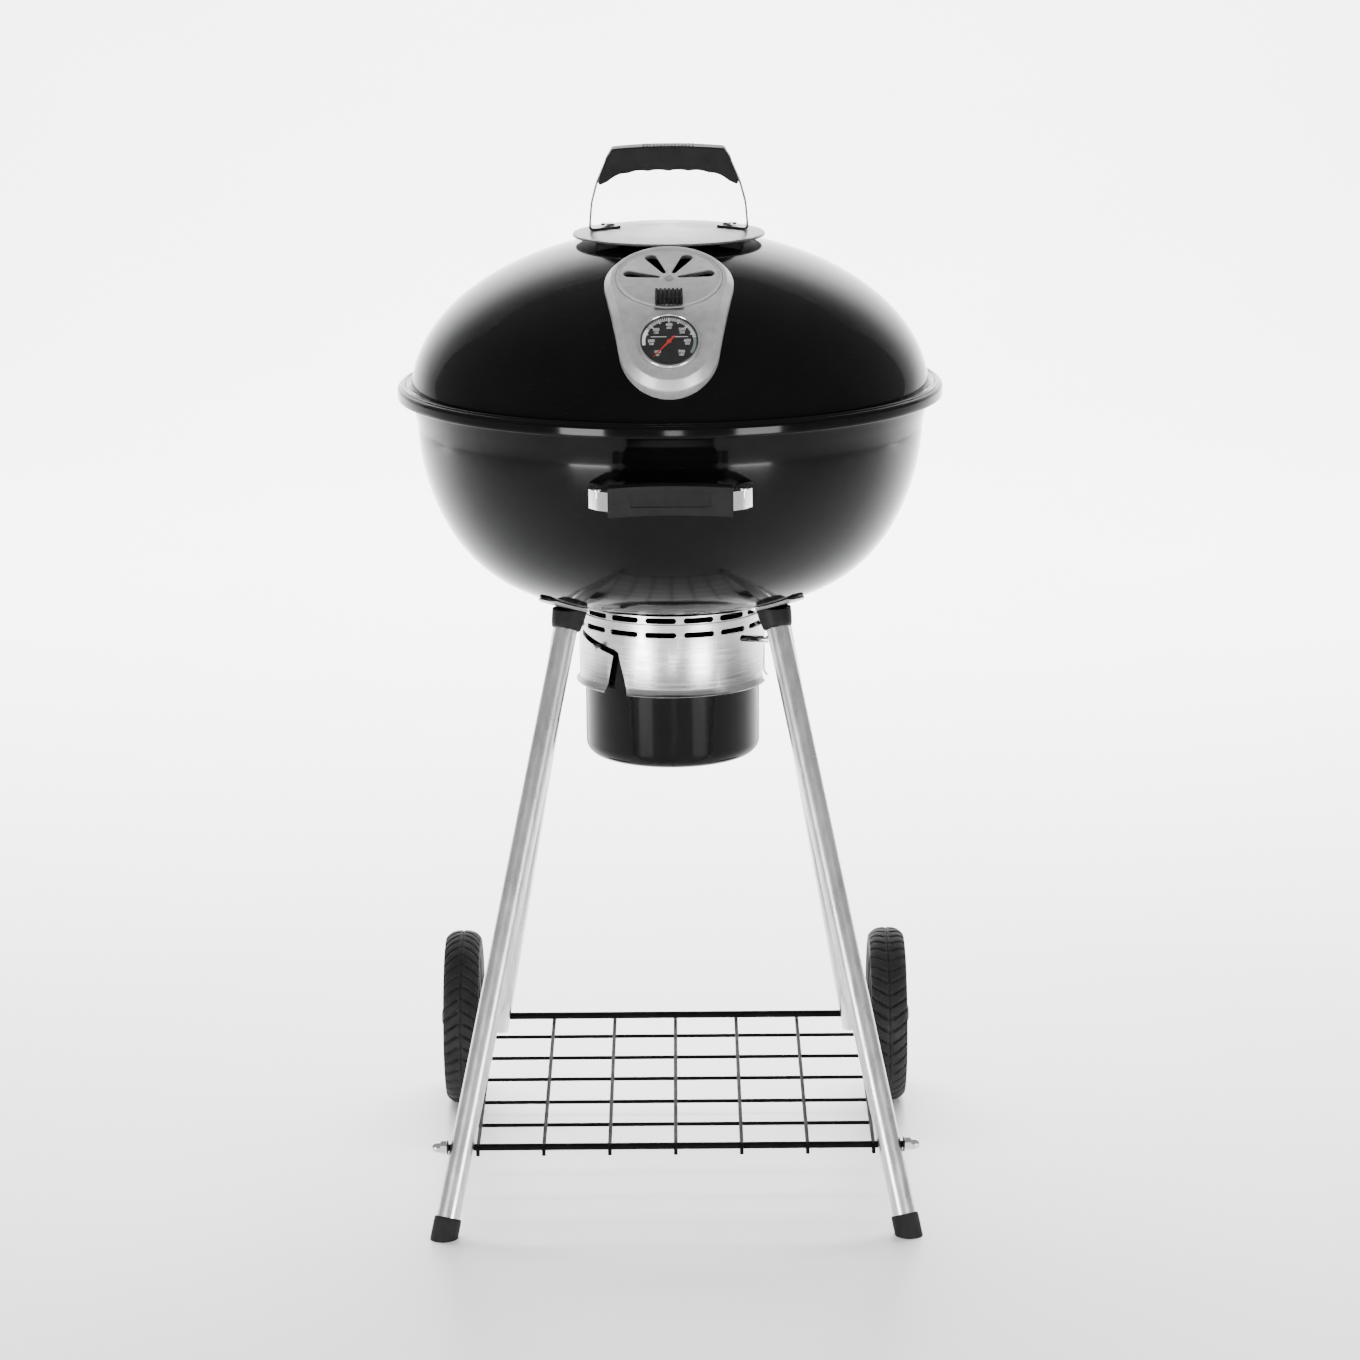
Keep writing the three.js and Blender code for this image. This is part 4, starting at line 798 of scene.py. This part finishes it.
def front_bracket():
    """The right bracket: a strap bent round to the grip, and the flat web between it and the bowl."""
    end, inside = GRIP_HALF + GAP, BRACKET_HALF - BRACKET_SHEET
    outer = fillet([(BRACKET_HALF, BRACKET_ROOT, 0), (BRACKET_HALF, -302, 0), (BRACKET_HALF - 10, -319, 0),
                    (end, -326, 0)], 4)
    inner = fillet([(inside, BRACKET_ROOT, 0), (inside, -301.3, 0), (inside - 9, -316.9, 0),
                    (end, -323.5, 0)], 3)
    strap = prism([(p.x, p.y) for p in (*outer, *inner[::-1])], GRIP_Z - 12.5, GRIP_Z + 7.5)
    concave = [(GRIP_HALF + 10 - 9 * math.sin(math.pi * i / 10), -268 - 44 * i / 10) for i in range(11)]
    web = prism([(BRACKET_HALF - 0.5, BRACKET_ROOT), *concave, (GRIP_HALF + 9, -315.5),
                 (BRACKET_HALF - 0.8, -300)], GRIP_Z + 5.0, GRIP_Z + 7.4)
    return combined(cut(strap, filled_bowl(GAP)), cut(web, filled_bowl(GAP)))


def front_handle():
    steps = 24
    stations = [GRIP_HALF * (2 * i / steps - 1) for i in range(steps + 1)]
    upper = [grip_edge(x, GRIP_Z + GRIP_HEIGHT / 2) for x in stations]
    lower = [grip_edge(x, GRIP_Z - GRIP_HEIGHT / 2) for x in stations[::-1]]
    body = turned(prism([*upper, *lower], -GRIP_BACK, -GRIP_FRONT), 90, "X")
    recess = brick(BADGE_SIZE, (0, GRIP_FRONT, GRIP_Z + 0.5))
    piece("front_grip", cut(body, recess), "plastic", "stand", ["front_handle_grip"], bevel=2.2)
    bolt_y = (GRIP_FRONT + GRIP_BACK) / 2 + 8
    for side, word in SIDES:
        bracket = front_bracket()
        if side < 0:
            bracket.transform(Matrix.Diagonal((-1, 1, 1, 1)))
            bmesh.ops.reverse_faces(bracket, faces=bracket.faces)
        piece(f"front_bracket_{word}", bracket, "chrome", "stand", [f"front_handle_bracket_{word}"],
              bevel=0.5)
        seat = Matrix.Translation((side * (GRIP_HALF + 11), bolt_y, GRIP_Z + 7.8))
        head = revolve([(0, -8), (3, -8), (3, 0), (6.2, 0), (6.2, 0.9), (5.2, 2.2), (3, 2.9), (0, 3.1)], 40)
        piece(f"front_bolt_{word}", moved(head, seat), "chrome", "stand", [f"front_handle_bolt_{word}"])


# ---------------- air ring and ash pot
def wrapped(outline, inner, outer, step=3.0):
    """An outline of [degrees, height] wrapped round the kettle's axis; 0 degrees is the front."""
    dense = []
    for (a, b), (c, d) in zip(outline, outline[1:] + outline[:1]):
        pieces = max(int(abs(c - a) / step), 1)
        dense += [(a + (c - a) * i / pieces, b + (d - b) * i / pieces) for i in range(pieces)]
    shape = bmesh.new()
    rings = []
    for radius in (inner, outer):
        rings.append([
            shape.verts.new((radius * math.sin(math.radians(a)), -radius * math.cos(math.radians(a)), z))
            for a, z in dense
        ])
    shape.faces.new(rings[0])
    shape.faces.new(rings[1][::-1])
    bridge(shape, *rings)
    bmesh.ops.triangulate(shape, faces=[face for face in shape.faces if len(face.verts) > 4])
    return finished(shape)


def air_slots(height, radius):
    half = SLOT_HEIGHT / 2
    per_mm = math.degrees(1 / radius)
    shapes = []
    for i in range(SLOT_COUNT):
        centre = SLOT_PHASE + i * 360 / SLOT_COUNT
        reach = SLOT_WIDTH / 2 - half * per_mm
        right = [(centre + reach + x * per_mm, height + z) for x, z in arc(0, 0, half, -90, 90, 8)]
        left = [(centre - reach + x * per_mm, height + z) for x, z in arc(0, 0, half, 90, 270, 8)]
        shapes.append(wrapped([*right, *left], radius - 6, radius + 6))
    return shapes


def ramp_height(degrees):
    return PIN_HEIGHT - (degrees - PINS[0]) * RAMP_RISE


def bayonet(shift):
    """The cutter for one pin's slot: a rising ramp that ends in a mouth open at the drum's lower edge."""
    half = RAMP_SLOT / 2
    per_mm = math.degrees(1 / DRUM_RADIUS)
    end = [(RAMP_CLOSED + half * per_mm + x * per_mm + shift, ramp_height(RAMP_CLOSED) + z)
           for x, z in arc(0, 0, half, 90, 270, 8)]
    opening = RAMP_OPEN + shift
    outline = [
        *end, (opening - 7, ramp_height(RAMP_OPEN - 7) - half),
        (opening - 0.9, ramp_height(RAMP_OPEN) - half),
        (opening - 7.3, DRUM_BOTTOM - 5), (opening + 10.6, DRUM_BOTTOM - 5),
        (opening + 3, ramp_height(RAMP_OPEN) + half - 3), (opening, ramp_height(RAMP_OPEN) + half),
    ]
    return wrapped(outline, DRUM_RADIUS - 8, DRUM_FLARE + 6)


def air_ring():
    wall = revolve([
        (DRUM_RADIUS - SHEET, DRUM_TOP), (DRUM_RADIUS - SHEET, DRUM_BOTTOM + 6),
        (DRUM_FLARE - 3, DRUM_BOTTOM + 1.6), (DRUM_FLARE - 0.8, DRUM_BOTTOM),
        (DRUM_FLARE, DRUM_BOTTOM + 0.8), (DRUM_FLARE - 2, DRUM_BOTTOM + 3),
        (DRUM_RADIUS, DRUM_BOTTOM + 8), (DRUM_RADIUS, DRUM_TOP - 0.5), (DRUM_RADIUS - 0.5, DRUM_TOP),
    ], 180)
    shifts = [pin - PINS[0] for pin in PINS]
    body = cut(wall, *air_slots(LOWER_SLOTS, DRUM_RADIUS), *[bayonet(shift) for shift in shifts])
    low, high = DRUM_BOTTOM + 9, DRUM_TOP - 16
    seam = wrapped([(SEAM_START, low), (SEAM_END, low), (SEAM_END, high), (SEAM_START, high)],
                   DRUM_RADIUS - 0.4, DRUM_RADIUS + 0.25)
    piece("air_ring_wall", combined(body, seam), "drum", "air_ring", ["air_shutter_ring"])


def collar():
    wall = revolve([
        (COLLAR_RADIUS - SHEET, COLLAR_BOTTOM), (COLLAR_RADIUS, COLLAR_BOTTOM),
        (COLLAR_RADIUS, COLLAR_TOP - SHEET - 1), (COLLAR_RADIUS + 1, COLLAR_TOP - SHEET),
        (COLLAR_FLANGE, COLLAR_TOP - SHEET), (COLLAR_FLANGE, COLLAR_TOP),
        (COLLAR_RADIUS - SHEET, COLLAR_TOP),
    ], 180)
    body = cut(wall, *air_slots(UPPER_SLOTS, COLLAR_RADIUS), *air_slots(LOWER_SLOTS, COLLAR_RADIUS))
    piece("ash_collar_wall", body, "drum", "stand", ["ash_collar"])


def radial(degrees, reach):
    angle = math.radians(degrees)
    return (reach * math.sin(angle), -reach * math.cos(angle), PIN_HEIGHT)


def ash_pot():
    centre = POT_RADIUS - POT_CORNER
    outside = arc(centre, POT_BOTTOM + POT_CORNER, POT_CORNER, -90, 0, 14)
    inside = arc(centre, POT_BOTTOM + POT_CORNER, POT_CORNER - WALL, 0, -90, 14)
    profile = [(0, POT_BOTTOM + 1.2), (centre - 12, POT_BOTTOM + 1.2), (centre - 8, POT_BOTTOM), *outside,
               (POT_RADIUS, POT_TOP - 0.8), (POT_RADIUS - WALL / 2, POT_TOP),
               (POT_RADIUS - WALL, POT_TOP - 0.8), *inside, (0, POT_BOTTOM + 1.2 + WALL)]
    piece("ash_pot_shell", revolve(profile, 144), "enamel", "ash_catcher", ["ash_pot"])
    for i, degrees in enumerate(PINS, 1):
        line = frame_between(radial(degrees, PIN_START), radial(degrees, PIN_END))
        pin = revolve([(0, -1), (PIN_FLANGE, -1), (PIN_FLANGE, 0.6), (PIN_SHANK, 0.6), (PIN_SHANK, 19.6),
                       (PIN_FLANGE, 19.6), (PIN_FLANGE, 21.2), (PIN_FLANGE - 1, 22.3), (0, 22.5)], 32)
        piece(f"bayonet_pin_{i}", moved(pin, line), "chrome", "ash_catcher", [f"ash_pot_pin_{i}"])


# ---------------- legs and sockets
def leg_ends(side_x, side_y):
    """Where a leg's middle line meets its socket and the floor, or passes the axle."""
    top = Vector((side_x * SOCKET.x, side_y * SOCKET.y, SOCKET.z))
    if side_y < 0:
        return top, Vector((side_x * FOOT.x, FOOT.y, 0))
    low = Vector((side_x * REAR_LEG_X, AXLE_Y, AXLE_Z))
    return top, top + (low - top) * REAR_LEG_PAST_AXLE


def at_height(ends, height):
    top, low = ends
    return top + (low - top) * ((top.z - height) / (top.z - low.z))


def hollow_tube(start, end, radius, wall):
    length = (Vector(end) - Vector(start)).length
    profile = [(radius - wall, 0), (radius - 0.3, 0), (radius, 0.3), (radius, length - 0.3),
               (radius - 0.3, length), (radius - wall, length)]
    return moved(revolve(profile, 56), frame_between(start, end))


def leg_tube(word, ends, front):
    low = at_height(ends, 9) if front else ends[1]
    tube = hollow_tube(at_height(ends, SOCKET_LOW + 6), low, TUBE_RADIUS, TUBE_WALL)
    y, z, radius = (SHELF_Y, SHELF_Z, BAR_RADIUS + 0.4) if front else (AXLE_Y, AXLE_Z, AXLE_RADIUS + 0.5)
    hole = sweep([(-300, y, z), (300, y, z)], radius, 24)
    piece(f"tube_{word}", cut(tube, hole), "leg", "stand", [f"leg_{word}"])


def leg_socket(word, ends, side_x, side_y):
    """The cup round the tube's top, trimmed to the bowl, and the plate that sits over it."""
    start, end = at_height(ends, SOCKET_LOW), at_height(ends, SOCKET_SEAT + 11)
    length = (end - start).length
    cup = revolve([(SOCKET_BORE, 0), (14.6, 0), (15.8, 1.0), (16.4, 2.6), (17.4, 8), (18.6, 16),
                   (20.2, length), (17, length), (SOCKET_BORE, length - 14), (SOCKET_BORE, 4)], 56)
    above_seat = brick(CUTTER, (side_x * SOCKET.x, side_y * SOCKET.y, SOCKET_SEAT + CUTTER[2] / 2))
    sealed = cut(moved(cup, frame_between(start, end)), filled_bowl(BOWL_FIT), above_seat)
    piece(f"socket_{word}", sealed, "plastic", "stand", [f"leg_socket_{word}"])

    slab = brick(PLATE_SIZE, (side_x * (SOCKET.x + 4), side_y * SOCKET.y, SOCKET_SEAT + PLATE_RISE))
    slab = boolean(slab, [filled_bowl(PLATE_DEPTH)], "INTERSECT")
    piece(f"saddle_{word}", cut(slab, filled_bowl(BOWL_FIT)), "plate", "stand", [f"leg_plate_{word}"])


def foot(word, side):
    ends = leg_ends(side, -1)
    start, end = at_height(ends, -14), at_height(ends, CAP_TOP)
    length = (end - start).length
    cap = revolve([(0, 0), (CAP_RADIUS, 0), (CAP_RADIUS, length - 6), (CAP_RADIUS - 0.2, length - 1.4),
                   (CAP_RADIUS - 0.7, length - 0.4), (13.2, length), (SOCKET_BORE, length - 1.2),
                   (SOCKET_BORE, CAP_FLOOR), (0, CAP_FLOOR)], 56)
    floor = brick(CUTTER, (side * FOOT.x, FOOT.y, -CUTTER[2] / 2))
    piece(f"foot_{word}", cut(moved(cap, frame_between(start, end)), floor), "rubber", "stand",
          [f"foot_cap_{word}"], sharp=28)


def legs():
    for end_word, side_y in (("front", -1), ("rear", 1)):
        for side_x, side_word in SIDES:
            word = f"{end_word}_{side_word}"
            ends = leg_ends(side_x, side_y)
            leg_tube(word, ends, side_y < 0)
            leg_socket(word, ends, side_x, side_y)
    for side, word in SIDES:
        foot(word, side)


# ---------------- shelf, nuts and wheels
def shelf_height(y):
    front, rear = SHELF_Z + 1.1, AXLE_Z - AXLE_RADIUS - WIRE_RADIUS - 0.5
    return front + (rear - front) * (y - SHELF_Y) / (AXLE_Y - SHELF_Y)


def shelf():
    """Long wires turn down over the front bar and run under the axle; the outer two stop at the legs."""
    front_y = SHELF_Y - BAR_RADIUS - WIRE_RADIUS + 0.5
    shapes = [sweep([(-BAR_HALF, SHELF_Y, SHELF_Z), (BAR_HALF, SHELF_Y, SHELF_Z)], BAR_RADIUS, 28)]
    for index in range(-3, 4):
        x = index * WIRE_PITCH
        end = AXLE_Y - TUBE_RADIUS - 8 if abs(index) == 3 else AXLE_Y + 7
        route = fillet([(x, front_y, SHELF_Z - WIRE_TAIL), (x, front_y, shelf_height(SHELF_Y)),
                        (x, end, shelf_height(end))], 4.5)
        shapes.append(sweep(route, WIRE_RADIUS, 18))
    for y in CROSS_WIRES:
        reach, z = 3 * WIRE_PITCH + 6, shelf_height(y) - WIRE_RADIUS * 1.6
        shapes.append(sweep([(-reach, y, z), (reach, y, z)], WIRE_RADIUS, 18))
    piece("shelf_grid", combined(*shapes), "wire", "stand", ["wire_shelf"])


def outward(x, y, z, side):
    """A frame at that place whose Z axis points out to that side."""
    return Matrix.Translation((x, y, z)) @ Matrix.Rotation(side * math.pi / 2, 4, "Y")


def shelf_nuts():
    for side, word in SIDES:
        ends = leg_ends(side, -1)
        face = at_height(ends, SHELF_Z).x + side * (TUBE_RADIUS + 2.2)
        line = outward(face, SHELF_Y, SHELF_Z, side)
        washer = revolve([(4.4, 0), (7.4, 0), (8.0, 0.4), (8.0, 1.2), (7.4, 1.5), (4.4, 1.5)], 40)
        piece(f"nut_washer_{word}", moved(washer, line), "plastic", "stand", [f"shelf_washer_{word}"])
        chamfer = revolve([(0, 1.0), (7.0, 1.6), (7.5, 2.4), (7.5, 7.8), (6.4, 8.9), (0, 9.4)], 48)
        hexagon = boolean(prism(circle(NUT_ROUND, 6), 1.9, 8.6), [chamfer], "INTERSECT")
        dome = revolve([(0, 7.5), (DOME_ROUND, 7.5), (DOME_ROUND, DOME_START),
                        *arc(0, DOME_START, DOME_ROUND, 4, 84, 12), (0, DOME_START + DOME_ROUND)], 48)
        bore = disc(NUT_BORE, -5, 10.0, 32)
        nut = combined(cut(hexagon, bore), cut(dome, bore))
        piece(f"acorn_nut_{word}", moved(nut, line), "chrome", "stand", [f"shelf_nut_{word}"])


def tread_depth(angle, width):
    """How far the tread is cut at that turn and that width, -1 to 1 across the tyre."""
    swing = TREAD_SWING * abs(width) ** 1.4
    phase = (angle / TURN * TREAD_COUNT + swing) % 1
    groove = max(0.0, 1 - abs(phase - 0.5) / 0.13)
    depth = TREAD_DEPTH * min(groove * 1.8, 1) * min(1, abs(abs(width) - 0.08) * 6)
    return depth + (CENTRE_RIB if abs(width) < 0.05 else 0.0)


def tyre_shape():
    """A tyre turned about Z, its tread cut by curved V grooves that swing back to each shoulder."""
    around, across = 540, 22
    half = WHEEL_WIDTH / 2
    wall = [(WHEEL_RIM, half - 5), (WHEEL_RIM + 3, half - 2.2), (WHEEL_RADIUS - 18, half - 0.2),
            (WHEEL_RADIUS - 14, half), (WHEEL_RADIUS - 9, half - 0.6)]
    shape = bmesh.new()
    rows = []
    for i in range(around):
        angle = TURN * i / around
        profile = [(radius, -height) for radius, height in wall]
        for j in range(across + 1):
            width = -1 + 2 * j / across
            crown = WHEEL_RADIUS - CROWN_DROP * abs(width) ** 3.2
            profile.append((crown - tread_depth(angle, width), width * (half - 1.4)))
        profile += wall[::-1]
        rows.append([shape.verts.new((r * math.cos(angle), r * math.sin(angle), z)) for r, z in profile])
    for first, second in zip(rows, rows[1:] + rows[:1]):
        bridge(shape, first, second)
    return finished(shape)


def hub_shape():
    """A hub and rim with a thin web between them, cut by one window for each gap between spokes."""
    profile = [(4.5, -17), (13, -17), (15, -16), (16, -13), (17.5, -6), (21, -4.5), (52, -4.5), (58, -7),
               (62, -13), (64.5, -16.5), (WHEEL_RIM - GAP, -17)]
    other_half = [(radius, -height) for radius, height in profile[::-1]]
    windows = []
    for i in range(SPOKES):
        start = 360 / SPOKES * i - 24
        outline = [*arc(0, 0, WINDOW_OUTER, start, start + 48, 16),
                   *arc(0, 0, WINDOW_INNER, start + 42, start + 6, 10)]
        windows.append(prism(outline, -12, 12))
    return cut(revolve([*profile, *other_half], 96), *windows)


def wheels():
    axle = sweep([(-AXLE_HALF, AXLE_Y, AXLE_Z), (AXLE_HALF, AXLE_Y, AXLE_Z)], AXLE_RADIUS, 32)
    piece("axle_rod", axle, "wire", "stand", ["axle"])
    for side, word in SIDES:
        line = outward(side * (WHEEL_OUTER - WHEEL_WIDTH / 2), AXLE_Y, AXLE_Z, side)
        piece(f"tyre_tread_{word}", moved(tyre_shape(), line), "rubber", f"wheel_{word}", [f"tyre_{word}"])
        piece(f"hub_{word}", moved(hub_shape(), line), "plastic", f"wheel_{word}", [f"wheel_hub_{word}"],
              bevel=0.8)
        cap = revolve([(0, 0), (10, 0), (10, 1.2), (9, 2.0), (6, 2.7), (0, 3.0)], 48)
        piece(f"axle_end_{word}", moved(cap, outward(side * (AXLE_HALF + GAP), AXLE_Y, AXLE_Z, side)),
              "plastic", "stand", [f"axle_cap_{word}"])


# ---------------- studio, m
CAMERA_PLACE = (0.0085, -5.0717 + AXIS_Y * 0.001, 1.6897)
CAMERA_LENS, CAMERA_DOWN, CAMERA_LEAN = 122.47, 0.2224, -0.0078
SET_HALF, COVE_START, COVE_RADIUS = 9.0, 4.5, 2.5
WORLD_STRENGTH = 0.45


def aim_camera():
    camera = add("camera", bpy.data.cameras.new("camera"))
    camera.data.sensor_width = 36
    camera.data.lens = CAMERA_LENS
    camera.data.clip_end = 60
    camera.matrix_world = (
        Matrix.Translation(CAMERA_PLACE) @ Matrix.Rotation(math.pi / 2 - CAMERA_DOWN, 4, "X")
        @ Matrix.Rotation(CAMERA_LEAN, 4, "Z"))
    bpy.context.scene.camera = camera


def backdrop():
    """A pale floor that curves up into a wall behind the grill, in metres."""
    floor = [(-SET_HALF, 0.0), (COVE_START, 0.0)]
    cove = [(COVE_START + COVE_RADIUS * math.sin(math.pi / 2 * i / 16),
             COVE_RADIUS - COVE_RADIUS * math.cos(math.pi / 2 * i / 16)) for i in range(1, 17)]
    shape = bmesh.new()
    rows = [[shape.verts.new((x, y, z)) for x in (-SET_HALF, SET_HALF)]
            for y, z in (*floor, *cove, (COVE_START + COVE_RADIUS, SET_HALF))]
    for first, second in zip(rows, rows[1:]):
        shape.faces.new((first[0], first[1], second[1], second[0])).smooth = True
    mesh = bpy.data.meshes.new("backdrop")
    shape.to_mesh(mesh)
    mesh.materials.append(surface("studio_white", grey(0.9), grey(0.93), (0.32, 0.42), grain=2.0,
                                  relief=(30.0, 0.01, 0.1)))
    add("backdrop", mesh)


def light():
    world = bpy.data.worlds.new("studio")
    world.use_nodes = True
    world.node_tree.nodes["Background"].inputs["Color"].default_value = (1, 1, 1, 1)
    world.node_tree.nodes["Background"].inputs["Strength"].default_value = WORLD_STRENGTH
    bpy.context.scene.world = world

    # name, place, target, size, power, and whether glossy surfaces mirror the lamp itself
    lamps = [
        ("side_left", (-3.4, 2.0, 1.3), (0, 0, 0.8), (0.7, 2.6), 80, False),
        ("side_right", (3.4, 2.0, 1.3), (0, 0, 0.8), (0.7, 2.6), 70, False),
        ("overhead", (0, 0.5, 3.6), (0, 0.1, 0.7), (1.2, 0.8), 36, False),
        ("backdrop_wash", (0, 2.8, 4.2), (0, 6.4, 1.0), (6.0, 1.4), 1500, False),
        ("floor_wash", (0, 3.0, 4.2), (0, 0.9, 0), (5.0, 2.0), 480, False),
        ("stripe_left", (-2.0, -2.8, 0.3), (0, 0, 0.3), (1.1, 0.6), 60, True),
        ("stripe_right", (2.0, -2.8, 0.3), (0, 0, 0.3), (1.1, 0.6), 48, True),
        ("low_front", (0.1, -4.2, 0.3), (0, 0, 0.55), (0.5, 0.25), 9, True),
        ("dial_light", (0.5, -3.6, 3.3), (0, -0.24, 0.96), (1.0, 0.8), 34, False),
    ]
    for name, place, target, size, power, shows in lamps:
        lamp = bpy.data.lights.new(name, "AREA")
        lamp.shape = "RECTANGLE"
        lamp.size, lamp.size_y = size
        lamp.energy = power
        item = add(name, lamp)
        item.visible_glossy = shows
        facing = (Vector(target) - Vector(place)).to_track_quat("-Z", "Y")
        item.matrix_world = Matrix.Translation(place) @ facing.to_matrix().to_4x4()


lid()
heat_shield()
lid_handle()
vent_housing()
damper()
thermometer()
bowl()
grate("cooking_grid", "cooking_grate", radius=268.0, height=838.0, count=11, wire=5.0)
grate("charcoal_grid", "charcoal_grate", radius=196.0, height=712.0, count=6, wire=6.0)
front_handle()
air_ring()
collar()
ash_pot()
legs()
shelf()
shelf_nuts()
wheels()
aim_camera()
backdrop()
light()
